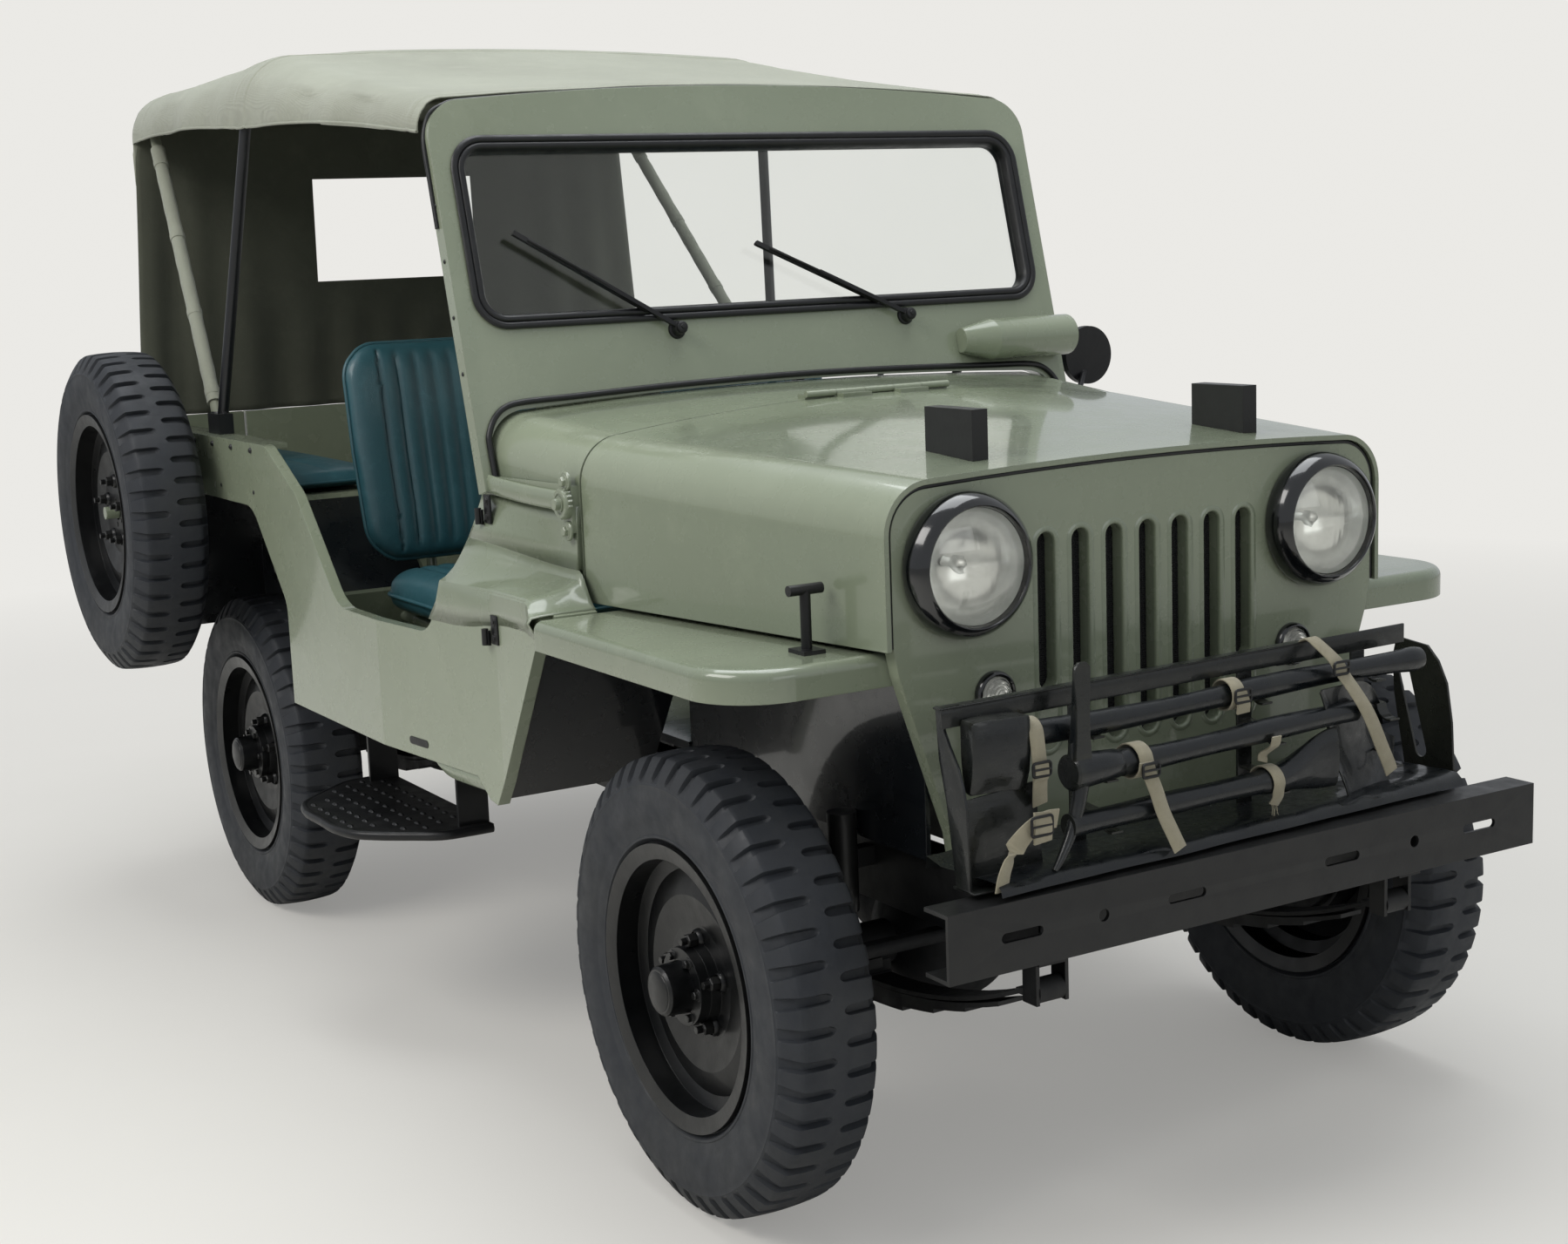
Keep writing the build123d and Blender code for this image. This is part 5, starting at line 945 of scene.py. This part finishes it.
LEAN = radians(9)
BACK_UP, BACK_OUT = Vector((0, sin(LEAN), cos(LEAN))), Vector((0, -cos(LEAN), sin(LEAN)))
for name, x in (("right", -0.365), ("left", 0.365)):
    middle = Vector((x, at(1.453), 0.84)) + BACK_UP * 0.2275 - BACK_OUT * 0.048
    seat = Vector((x, at(1.2275), 0.776))

    def place_back(a, b, c):
        taper = 1 - 0.045 * max(0, -b / 0.2275)
        bend = 0.01 * (a / 0.21) ** 2
        return middle + Vector((a * taper, 0, 0)) + BACK_UP * b + BACK_OUT * (c + bend)

    def place_seat(a, b, c):
        front = max(0.0, -b / 0.2175)
        return seat + Vector((a, b, c - 0.016 * front ** 3 + 0.004 * (a / 0.21) ** 2))

    back = cushion("seat_back_", "seat_back_piping_", name, 0.8, BACK_OUT * 0.003, 0.0042, width=0.416, height=0.45,
                   thick=0.04, corner=0.075, place=place_back, channels=7, span=0.66, depth=0.0085)
    base = cushion("seat_cushion_", "seat_piping_", name, 0.8, Vector((0, 0, 0.003)), 0.0042, width=0.416,
                   height=0.431, thick=0.062, corner=0.085, place=place_seat, channels=7, span=0.66, depth=0.0075,
                   back=0.62)
    if name == "right":
        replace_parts(back, "seat_backs")
        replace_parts(base, "seat_cushions")

for name, side in (("right", -1), ("left", 1)):
    middle = Vector((side * 0.5595, at(2.1), 0.985))
    made = cushion("side_cushion_", "side_piping_", name, 0.85, Vector((0, 0, 0.002)), 0.0035, width=0.234,
                   height=0.796, thick=0.036, corner=0.03, place=lambda a, b, c: middle + Vector((a, b, c)),
                   channels=2, span=0.86, depth=0.004, back=0.46, cells=64)
    if name == "right":
        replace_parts(made, "side_cushions")

# ---------- cowl sides, hinges and body trim ----------
SEAM, NOSE_START, POST = 0.4345, 0.374, 0.745
# sections of the skin that carries the cowl's side out to the body: (across, height), from the top down
NOSE = ((0.6, 0.8785), (0.606, 0.8785), (0.63, 0.8785), (0.668, 0.8785), (0.7, 0.8775), (0.7165, 0.8755),
        (0.7215, 0.868), (0.699, 0.829))
CREASE = ((0.5985, 1.042), (0.5985, 1.01), (0.599, 0.97), (0.6, 0.936), (0.606, 0.921), (0.63, 0.909),
          (0.668, 0.903), (0.696, 0.8995), (0.7012, 0.893), (0.7012, 0.868), (0.699, 0.84))
DOOR = ((0.625, 1.042), (0.634, 1.02), (0.645, 0.995), (0.659, 0.968), (0.674, 0.942), (0.69, 0.919),
        (0.706, 0.9045), (0.7185, 0.8985), (0.7206, 0.89), (0.7206, 0.862), (0.7185, 0.825))
TOE = ((0, 0), (0.0, 0.014), (0.005, 0.026), (0.018, 0.034), (0.045, 0.038), (0.085, 0.038))


def body_x(offset):
    """Half the body's width, which grows behind the cowl."""
    return 0.7 + 0.045 * min(1.0, max(0.0, (offset - 0.56) / 0.44))


def post_edge(z):
    """Offset of the doorway's front edge."""
    return POST + 0.055 * ease((0.9 - z) / 0.09) ** 1.5 + 0.006 * ease((z - 0.95) / 0.1)


def cowl_point(k, offset):
    """Point k of the section at an offset."""
    t = ease((offset - 0.49) / 0.23)
    x = CREASE[k][0] * (1 - t) + DOOR[k][0] * t
    z = CREASE[k][1] * (1 - t) + DOOR[k][1] * t
    if k >= 7:
        x += body_x(offset) - (0.7 * (1 - t) + 0.7189 * t)
    if k >= 3 and offset < 0.43:
        q = ease((offset - NOSE_START) / 0.056)
        x = NOSE[k - 3][0] * (1 - q) + x * q
        z = NOSE[k - 3][1] * (1 - q) + z * q
    return x, z


def inwards(row, side, depth, y=0.0):
    return [Vector((side * (abs(p.x) - depth(p.z)), p.y + y, p.z)) for p in row]


bm = bmesh.new()
for side in SIDES:
    for first, last, start in ((0, 3, SEAM), (3, 10, NOSE_START)):
        rows = []
        for i in range(41):
            row = []
            for k in range(first, last + 1):
                end = post_edge(cowl_point(k, POST)[1])
                offset = start + (end - start) * i / 40
                x, z = cowl_point(k, offset)
                row.append(Vector((side * x, at(offset), z)))
            rows.append(row)
        rows.append(inwards(rows[-1], side, lambda z: 0.045 if z > 0.9 else 0.006, 0.001))
        if first == 0:
            rows.insert(0, inwards(rows[0], side, lambda z: 0.012))
        grid(bm, rows)
    # rolled end under the toe of the body side
    rows = []
    for i in range(17):
        offset = 0.606 + 0.2 * i / 16
        close = sqrt(max(0.0, 1 - max(0.0, (offset - 0.74) / 0.066) ** 2))
        rows.append([Vector((side * (body_x(offset) - 0.0015 - a), at(offset), 0.568 - b * close)) for a, b in TOE])
    grid(bm, rows)
thicken(piece("cowl_blend", bm, PAINT, 32), "skin", 0.0012, 0)

ARM_X, ARM_OFFSET, ARM_Z = 0.6055, 0.455, 1.046
ARM = ((0.6095, 0.47, 1.05), (0.6155, 0.53, 1.0515), (0.6235, 0.6, 1.055), (0.632, 0.68, 1.061),
       (0.637, 0.722, 1.068))
ARM_EYE = ((0, 0.026), (0.01, 0.026), (0.013, 0.0235), (0.013, 0.017), (0.011, 0.0165), (0.011, 0))
ARM_PIN = ((0, 0.0135), (0.003, 0.0135), (0.003, 0.01), (0.012, 0.0095), (0.013, 0))
ARM_WASHER = ((0, 0.0165), (0.003, 0.0165), (0.0045, 0.015), (0.0045, 0))
bm, bm_bolt = bmesh.new(), bmesh.new()
for side in SIDES:
    out = (side, 0, 0)
    # door hinge eyes without their doors
    for offset, z in ((0.69, 1.022), (0.556, 0.834)):
        x, y = side * ((0.642 if z > 1 else body_x(offset)) + 0.0015), at(offset)
        cuboid(bm, (x - 0.0022, y - 0.012, z - 0.026), (x + 0.0022, y + 0.013, z + 0.024), 0.001)
        cuboid(bm, (x - 0.006, y + 0.01, z - 0.026), (x + 0.012 * side + 0.004, y + 0.026, z - 0.004), 0.002)
        tube(bm, [(x + side * 0.01, y + 0.02, z - 0.028), (x + side * 0.01, y + 0.02, z)], 0.006, 12)
        for lift in (0.014, -0.014):
            bolt(bm, (x + side * 0.002, y - 0.001, z + lift), out, 0.0055, 0.004)
    # pivot of the windscreen's arm: bolts, eye, pin and the toothed quadrant
    x, y = side * ARM_X, at(ARM_OFFSET)
    for z in (1.083, 1.001):
        lathe(bm_bolt, (x, at(0.449), z), out, ARM_WASHER, 24)
        bolt(bm_bolt, (x + side * 0.004, at(0.449), z), out, 0.0085, 0.008)
    lathe(bm_bolt, (x, y, ARM_Z), out, ARM_EYE, 32)
    lathe(bm_bolt, (x + side * 0.011, y, ARM_Z), out, ARM_PIN, 24)
    for k in range(5):
        a = radians(150 + 18 * (k - 2))
        tube(bm_bolt, [(x + side * q, y + 0.026 * cos(a), ARM_Z + 0.026 * sin(a)) for q in (0.001, 0.009)], 0.0032, 6)
    # rounded cap over the arm
    capped(bm_bolt, [[Vector((p.x + side * 0.0065 * u, p.y, p.z + 0.0165 * v)) for u, v in circle(16)]
                     for p in smooth_path([(side * a, at(b), c) for a, b, c in ARM], 6)])
    # long slot near the bottom edge and the buttons along the deck
    plate(bm, rounded(0.07, 0.014, 0.0068, 5), 0.0006,
          lambda a, b, c: Vector((side * (body_x(0.86 + a) + 0.0003 + c), at(0.86) + a, 0.592 + b)))
    for count, step, z, radius, height in ((8, 0.13, 1.072, 0.0065, 0.005), (5, 0.22, 0.985, 0.0045, 0.0025)):
        for k in range(count):
            dome(bm, (side * 0.7452, at(1.66 + step * k), z), out, radius, height)
piece("body_fittings", bm, BLACK, 40)
piece("arm_fittings", bm_bolt, PAINT, 40)

# ---------- grille: rolled slot edges and the seal under the hood's lip ----------
HALF_SLOT, SLOT_PITCH = 0.0165, 0.064
SLOT_EDGE = ((-0.0004, -0.008), (-0.0006, -0.001), (0.0012, 0.0014), (0.0035, 0.0019), (0.0065, 0.0012),
             (0.009, 0.0001))
bm = bmesh.new()
for number in range(-3, 4):
    rows = []
    for d, w in SLOT_EDGE:
        r = HALF_SLOT + d
        rows.append([])
        for cz, start in ((1.026 - HALF_SLOT, 0), (0.7 + HALF_SLOT, 180)):
            for a in (radians(start + 180 * k / 12) for k in range(13)):
                rows[-1].append((number * SLOT_PITCH + r * cos(a), GRILLE_Y - w, cz + r * sin(a)))
    grid(bm, rows, close_u=True)
piece("slot_edges", bm, PAINT, 60)
inset, half, top, corner = 0.0112, 0.478, 1.122, 0.078
bend = corner - inset
seal_path = [(-half + inset, 0.886), (-half + inset, 0.96)]
seal_path += [(-half + corner - bend * cos(a), top - corner + bend * sin(a))
              for a in (radians(10 * k) for k in range(10))]
seal_path += [(x / 10 * (half - corner), top - inset + 0.01 * (1 - (x / 10) ** 2)) for x in range(-9, 1)]
bm = bmesh.new()
tube(bm, [(a, GRILLE_Y + 0.004, b) for a, b in mirrored(seal_path)], 0.0042, 10)
piece("hood_seal", bm, RUBBER, 60)

# ---------- side step: its rim and the raised drops ----------
STEP_RIM = ((-0.602, 0.852), (-0.655, 0.852), (-0.7, 0.858), (-0.745, 0.892), (-0.79, 0.93), (-0.825, 0.972),
            (-0.84, 1.03), (-0.84, 1.105), (-0.84, 1.18), (-0.825, 1.238), (-0.79, 1.28), (-0.745, 1.318),
            (-0.7, 1.352), (-0.655, 1.358), (-0.602, 1.358))
bm = bmesh.new()
tube(bm, smooth_path([(x, at(offset), 0.4125) for x, offset in STEP_RIM], 5), 0.0088, 12)
for i in range(6):
    for j in range(11):
        x, offset = -0.64 - 0.036 * i, 0.905 + 0.04 * j + 0.02 * (i % 2)
        if abs(offset - 1.105) <= 0.235 - max(0.0, -x - 0.7) * 0.95:
            made = grid(bm, [[(x + 0.0055 * q * u, at(offset) + 0.0115 * q * v, 0.4195 + 0.0045 * (1 - q * q))
                              for u, v in circle(14)] for q in (1.0, 0.75, 0.45, 0.15)], close_u=True)
            bm.faces.new(made[-1])
piece("step_tread", bm, BLACK, 50)

# ---------- tool rack, tools and straps ----------
SKEW = 0.045


def rk(x, offset, z):
    """A point of the rack, which stands slightly skewed on the bumper."""
    return Vector((x, at(offset + SKEW * x), z))


def pierced(bm, outer, holes, place, thick):
    """A plate with holes: place(a, b, c) maps the outline, c runs through the thickness."""
    loops = [[bm.verts.new(place(a, b, 0)) for a, b in loop] for loop in (outer, *holes)]
    edges = [bm.edges.new((loop[i], loop[(i + 1) % len(loop)])) for loop in loops for i in range(len(loop))]
    filled = bmesh.ops.triangle_fill(bm, edges=edges, use_beauty=True)["geom"]
    faces = [g for g in filled if isinstance(g, bmesh.types.BMFace)]
    made = bmesh.ops.extrude_face_region(bm, geom=faces)["geom"]
    shift = place(0, 0, thick) - place(0, 0, 0)
    bmesh.ops.translate(bm, verts=[g for g in made if isinstance(g, bmesh.types.BMVert)], vec=shift)


def shell(bm, rows, shift):
    """A sheet with a thickness: rows of points, and the same moved by shift."""
    front = grid(bm, rows)
    back = grid(bm, [[Vector(p) + shift for p in row] for row in rows])
    last = len(rows[0]) - 1
    for i in range(len(rows) - 1):
        for j in (0, last):
            bm.faces.new((front[i][j], front[i + 1][j], back[i + 1][j], back[i][j]))
    for j in range(last):
        for i in (0, len(rows) - 1):
            bm.faces.new((front[i][j], front[i][j + 1], back[i][j + 1], back[i][j]))


def slot_loop(a, b, half, steps=8):
    """A long round-ended hole from point a to point b."""
    a, b = Vector(a), Vector(b)
    turn = atan2(b.y - a.y, b.x - a.x)
    out = []
    for centre, start in ((b, turn - pi / 2), (a, turn + pi / 2)):
        for angle in (start + pi * k / steps for k in range(steps + 1)):
            out.append((centre.x + half * cos(angle), centre.y + half * sin(angle)))
    return out


def bar(outline, offset, thick, rim):
    """A flat piece of the rack that stands at an offset."""
    plate(bm, outline, thick, lambda a, b, c: rk(a, offset + c, b), rim)


AXE, MATTOCK, SHOVEL = (-0.455, 0.781), (-0.484, 0.724), (-0.492, 0.652)
LEFT_PLATE = ((-0.502, 0.584), (-0.497, 0.7), (-0.4905, 0.728), (-0.481, 0.754), (-0.463, 0.778), (-0.449, 0.8),
              (-0.446, 0.832), (-0.43, 0.832), (-0.436, 0.76), (-0.452, 0.7), (-0.47, 0.584))
RIGHT_PLATE = ((-0.452, 0.584), (-0.447, 0.668), (-0.436, 0.73), (-0.418, 0.764), (-0.395, 0.786), (-0.33, 0.792),
               (-0.322, 0.76), (-0.326, 0.7), (-0.35, 0.584))
TRAY = ((-0.521, 0.5835), (-0.518, 0.592), (-0.508, 0.5985), (-0.485, 0.601), (-0.455, 0.598), (-0.42, 0.596),
        (-0.38, 0.597), (-0.345, 0.603), (-0.342, 0.584))
bm = bmesh.new()
plate(bm, LEFT_PLATE, 0.004, lambda a, b, c: Vector((-0.494 + c, at(a), b)), 0.0008)
pierced(bm, RIGHT_PLATE, [slot_loop((-0.347, 0.736), (-0.384, 0.614), 0.0115)],
        lambda a, b, c: Vector((0.484 + c, at(a), b)), 0.004)
# folded feet of the end plates
cuboid(bm, (-0.494, at(-0.512), 0.5835), (-0.44, at(-0.462), 0.587), 0.001)
cuboid(bm, (0.43, at(-0.456), 0.5835), (0.488, at(-0.35), 0.587), 0.001)
# front sheet below the axe's head, and the top bars
bar(((-0.49, 0.584), (-0.35, 0.584), (-0.358, 0.64), (-0.362, 0.716), (-0.49, 0.708)), -0.462, 0.003, 0.0006)
bar(((-0.506, 0.806), (0.195, 0.806), (0.206, 0.812), (0.209, 0.82), (0.206, 0.829), (0.195, 0.834),
     (-0.506, 0.834)), -0.44, 0.004, 0.0008)
bar(((-0.506, 0.831), (0.19, 0.831), (0.19, 0.834), (-0.506, 0.834)), -0.44, 0.02, 0.0006)
bar(((0.15, 0.798), (0.432, 0.798), (0.432, 0.828), (0.15, 0.828)), -0.415, 0.004, 0.0008)
# uprights with their cradles
for x in (-0.245, 0.085, 0.33):
    cuboid(bm, (x - 0.014, at(-0.412) + SKEW * x, 0.583), (x + 0.014, at(-0.407) + SKEW * x, 0.812), 0.001)
    for offset, z in (AXE, MATTOCK, SHOVEL):
        cup = [rk(x, offset + 0.0225 * cos(radians(a)), z + 0.0225 * sin(radians(a))) for a in range(255, 371, 20)]
        cup.append(rk(x, -0.412, z + 0.004))
        shell(bm, [[p + Vector((w, 0, 0)) for p in cup] for w in (-0.01, 0.01)], Vector((0, 0, -0.003)))
# beaten tray on the bumper
rows = []
for i in range(70):
    x = -0.47 + 0.925 * i / 69
    row = []
    for offset, z in TRAY:
        wave = (0.0045 * noise.noise(Vector((x * 9, offset * 22, 3.1)))
                + 0.0022 * noise.noise(Vector((x * 31, offset * 50, 7.7))))
        row.append(rk(x, offset + 0.005 * noise.noise(Vector((x * 7, 0.3, 1.1))), z + (0 if z < 0.585 else wave)))
    rows.append(row)
grid(bm, rows)
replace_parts(piece("rack_frame", bm, TOOL, 40), "tool_rack")


def handle(start, length, count, section):
    """A handle along the rack; section(x) gives its offset, height, half depth and half height."""
    rows = []
    for i in range(count + 1):
        x = start + length * i / count
        offset, z, deep, high = section(x)
        rows.append([rk(x, offset, z) + Vector((0, deep * u, high * v)) for u, v in circle(20)])
    capped(bm, rows)


def axe_handle(x):
    """It swells behind the head and at its end, which is rounded off."""
    r = 0.0165 + 0.0025 * ease((-0.26 - x) / 0.12) + 0.0012 * sin(x * 19) + 0.002 * ease((x - 0.36) / 0.05)
    if x > 0.4219:
        r *= 0.86
    return AXE[0], AXE[1] + 0.0025 * sin(x * 9), 0.92 * r, r


def mattock_handle(x):
    r = 0.0168 + 0.001 * sin(x * 23)
    return MATTOCK[0], MATTOCK[1] + 0.003 * sin(x * 8), 0.94 * r, r


def shovel_handle(x):
    """It flattens into the blade's socket."""
    flare = ease((x - 0.06) / 0.13)
    r = 0.0165 + 0.0008 * sin(x * 31) + 0.003 * ease((x - 0.035) / 0.01)
    return SHOVEL[0] + 0.004 * flare, SHOVEL[1] + 0.012 * flare, r - 0.01 * flare, r + 0.026 * flare


# the axe's head is a deep wedge, its cheek to the front: x, lower and upper edge, half thickness
AXE_HEAD = ((-0.478, 0.716, 0.808, 0.0135), (-0.4745, 0.713, 0.812, 0.0165), (-0.455, 0.712, 0.813, 0.0185),
            (-0.42, 0.711, 0.812, 0.0205), (-0.394, 0.708, 0.811, 0.0205), (-0.383, 0.708, 0.81, 0.019),
            (-0.38, 0.712, 0.806, 0.0165))
WEDGE = ((-1, 0.0), (-1, 0.45), (-0.8, 0.75), (-0.35, 0.985), (-0.12, 1.0), (0.12, 1.0), (0.35, 0.985), (0.8, 0.75),
         (1, 0.45), (1, 0.0), (0.92, -0.03), (-0.92, -0.03))
bm = bmesh.new()
handle(-0.4, 0.822, 60, axe_handle)
capped(bm, [[rk(x, -0.458 + a * thick, high - (high - low) * b) for a, b in WEDGE]
            for x, low, high, thick in AXE_HEAD])
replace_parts(piece("axe_form", bm, TOOL, 40), "axe")

MATTOCK_EYE = ((0, 0), (0, 0.022), (0.003, 0.0255), (0.02, 0.0255), (0.06, 0.0225), (0.086, 0.0205), (0.089, 0.019),
               (0.091, 0.0185), (0.108, 0.0195), (0.128, 0.018), (0.13, 0.0165))
PICK = ((-0.303, -0.488, 0.712), (-0.312, -0.492, 0.68), (-0.33, -0.497, 0.642), (-0.352, -0.502, 0.612),
        (-0.366, -0.505, 0.598))
bm = bmesh.new()
handle(-0.225, 0.47, 50, mattock_handle)
lathe(bm, rk(-0.322, *MATTOCK), (rk(1, 0, 0) - rk(0, 0, 0)).normalized(), MATTOCK_EYE, 32)
# flat blade upwards, pick downwards
rows = []
for t in (k / 20 for k in range(21)):
    half = 0.0128 + 0.0028 * ease((0.3 - t) / 0.3) + 0.002 * ease((t - 0.55) / 0.4)
    half *= sqrt(max(0.0, 1 - max(0.0, (t - 0.93) / 0.07) ** 2 * 0.8))
    thick = 0.0105 - 0.0075 * t
    rows.append([rk(-0.306 + 0.003 * t + half * a, -0.49 + thick * b - 0.004 * t, 0.742 + 0.136 * t)
                 for a, b in chamfered(0.9, 0.5)])
capped(bm, rows)
tube(bm, smooth_path([rk(*p) for p in PICK], 6), lambda t: 0.0135 - 0.0095 * t, 10)
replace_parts(piece("mattock_form", bm, TOOL, 40), "mattock")

bm = bmesh.new()
handle(-0.33, 0.53, 60, shovel_handle)
rows = []
for i in range(29):
    u = i / 28
    half = 0.096 * (1.0 if u < 0.5 else sqrt(max(0.0, 1 - ((u - 0.5) / 0.5) ** 2)))
    half = max(half, 0.012)
    row = []
    for j in range(25):
        v = -1 + j / 12
        x = 0.188 + 0.168 * u - 0.034 * v * (1 - 0.6 * u)
        x += 0.022 * (1 - v * v) * (1 - u) - 0.02 * (1 - abs(v)) ** 2 * (1 - u)
        lip = 0.012 * ease((0.1 - u) / 0.1) * abs(v)
        row.append(rk(x, -0.49 + 0.036 * u * u - 0.02 * (v * v - 1) * (0.45 + 0.55 * u) - lip, 0.674 + half * v))
    rows.append(row)
shell(bm, rows, Vector((0, 0.0028, 0)))
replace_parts(piece("shovel_form", bm, TOOL, 50), "shovel")

bm, bm_buckle = bmesh.new(), bmesh.new()


def strap(points, width=0.024, thick=0.0026, across=(1, 0, 0)):
    """Webbing along the points, its width square to the path and as near to across as it can be."""
    path = smooth_path([rk(*p) for p in points], 6)
    rows = []
    for i, p in enumerate(path):
        run = (path[min(i + 1, len(path) - 1)] - path[max(i - 1, 0)]).normalized()
        wide = Vector(across)
        wide = (wide - run * wide.dot(run)).normalized()
        normal = run.cross(wide).normalized()
        rows.append([p + wide * (width / 2 * a) + normal * (thick / 2 * b) for a, b in chamfered(0.95, 0.6)])
    capped(bm, rows)


def buckle(x, offset, z, width=0.031, height=0.019):
    ring = [rk(x + a, offset, z + b) for a, b in rounded(width, height, 0.004, 3)]
    tube(bm_buckle, ring + ring[:1], 0.0022, 8, caps=False)
    tube(bm_buckle, [rk(x + side * width / 2, offset - 0.001, z) for side in SIDES], 0.0018, 8)


def wrapped(x, tool, r, start, end, lean=0.0, lift=0.0):
    """Points round a handle from one angle to another, in degrees from the rear over the top."""
    count = max(2, int(abs(end - start) / 30))
    out = []
    for k in range(count + 1):
        a = radians(start + (end - start) * k / count)
        out.append((x + lean * k / count, tool[0] + r * cos(a), tool[1] + lift + r * sin(a)))
    return out


# axe
strap(wrapped(-0.372, AXE, 0.0235, 20, 180)
      + [(-0.371, -0.481, 0.755), (-0.37, -0.482, 0.732), (-0.368, -0.478, 0.706), (-0.362, -0.47, 0.684)])
strap([(-0.371, -0.485, 0.748), (-0.371, -0.487, 0.733), (-0.37, -0.483, 0.722)], thick=0.004)
strap(wrapped(0.01, AXE, 0.0225, 0, 360, lift=0.001))
strap([(0.013, -0.476, 0.79), (0.015, -0.482, 0.772), (0.016, -0.48, 0.757)], thick=0.004)
# from the top bar down over all three tools
strap([(0.19, -0.425, 0.826), (0.19, -0.444, 0.84), (0.196, -0.462, 0.829), (0.208, -0.48, 0.808),
       (0.22, -0.486, 0.786), (0.232, -0.497, 0.762), (0.246, -0.506, 0.735), (0.262, -0.509, 0.705),
       (0.28, -0.509, 0.67), (0.297, -0.508, 0.64), (0.304, -0.507, 0.626)])
# mattock and shovel
strap(wrapped(-0.205, MATTOCK, 0.0235, 0, 180, 0.008)
      + [(-0.194, -0.51, 0.706), (-0.186, -0.514, 0.682), (-0.178, -0.52, 0.65), (-0.166, -0.528, 0.617),
         (-0.158, -0.533, 0.596)])
strap(wrapped(-0.2, MATTOCK, 0.0255, 180, 330))
strap(wrapped(0.048, SHOVEL, 0.023, 10, 215, 0.01) + [(0.06, -0.507, 0.628), (0.056, -0.502, 0.617)], width=0.021)
strap(wrapped(0.058, MATTOCK, 0.0235, 180, 250, lift=-0.004) + [(0.052, -0.485, 0.69), (0.048, -0.487, 0.68)],
      width=0.018)
# loose end below the axe's head
strap([(-0.462, -0.508, 0.588), (-0.458, -0.512, 0.615), (-0.443, -0.515, 0.645), (-0.42, -0.517, 0.666),
       (-0.392, -0.517, 0.676), (-0.365, -0.512, 0.674)], width=0.027, across=(0.55, 0, 0.83))
strap([(-0.398, -0.521, 0.69), (-0.4, -0.524, 0.668), (-0.398, -0.52, 0.648)], width=0.03, thick=0.004)
# frayed threads at the shovel's strap
for strand in range(6):
    x = 0.052 + 0.0022 * strand
    tube(bm, [rk(x, -0.502, 0.62), rk(x + 0.002 * sin(strand * 2.1), -0.504, 0.612 - 0.002 * (strand % 3)),
              rk(x + 0.004 * sin(strand * 1.7), -0.503, 0.602 - 0.003 * (strand % 2))], 0.0005, 5)
for place in ((-0.371, -0.4875, 0.738), (0.014, -0.483, 0.783), (0.214, -0.488, 0.797), (-0.193, -0.5125, 0.712),
              (-0.402, -0.5245, 0.672, 0.036, 0.026)):
    buckle(*place)
piece("rack_straps", bm, WEB, 45)
piece("rack_buckles", bm_buckle, BLACK, 40)

# ---------- bow sleeves, bolts, lamp rims and mirror ----------
bm = bmesh.new()
for side in SIDES:
    foot, head = Vector((side * 0.705, at(1.994), 1.116)), Vector((side * 0.622, at(2.632), 1.835))
    run = (head - foot).normalized()
    tube(bm, [foot.lerp(head, 0.05 + 0.8 * k / 24) for k in range(25)],
         lambda t: 0.0158 + 0.0006 * sin(t * 60) + 0.0012 * (t > 0.97 or t < 0.03), 14)
    for p in (foot.lerp(head, t) for t in (0.08, 0.32, 0.56, 0.8)):
        tube(bm, [p - run * 0.009, p + run * 0.009], 0.0172, 14)
piece("bow_sleeves", bm, CANVAS, 50)

TAIL_X, TAIL_Z = 0.62, 0.77
lamp_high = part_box("tail_lamps")[1]
lamp_r = lamp_high[0] - TAIL_X
TAIL_RIM = ((-0.004, 0.0004), (-0.004, 0.005), (0.004, 0.005), (0.009, 0.002), (0.01, -0.003), (0.007, -0.004),
            (-0.004, 0.0004))
bm = bmesh.new()
for side in SIDES:
    for offset in (1.953, 2.007):
        bolt(bm, (side * 0.705, at(offset), 1.132), UP, 0.006, 0.005)
for side in SIDES:
    lathe(bm, (side * TAIL_X, lamp_high[1] - 0.014, TAIL_Z), REAR, [(a, lamp_r + b) for a, b in TAIL_RIM], 40)
piece("small_fittings", bm, BLACK, 40)

MIRROR_PLACE = (0.8875, at(0.96), 1.19)
MIRROR_RIM = ((0.0, 0.0575), (0.0025, 0.058), (0.0035, 0.06), (0.0025, 0.0618), (-0.004, 0.0625), (-0.004, 0.0575),
              (0.0, 0.0575))
bm = bmesh.new()
lathe(bm, MIRROR_PLACE, REAR, ((0.0002, 0.0575), (0.001, 0.057), (0.0012, 0.0)), 48)
piece("mirror_face", bm, MIRROR, 40)
bm = bmesh.new()
lathe(bm, MIRROR_PLACE, REAR, MIRROR_RIM, 48)
piece("mirror_rim", bm, BLACK, 50)

# ---------- colour view ----------------------
bpy.context.scene.view_settings.view_transform = "Standard"
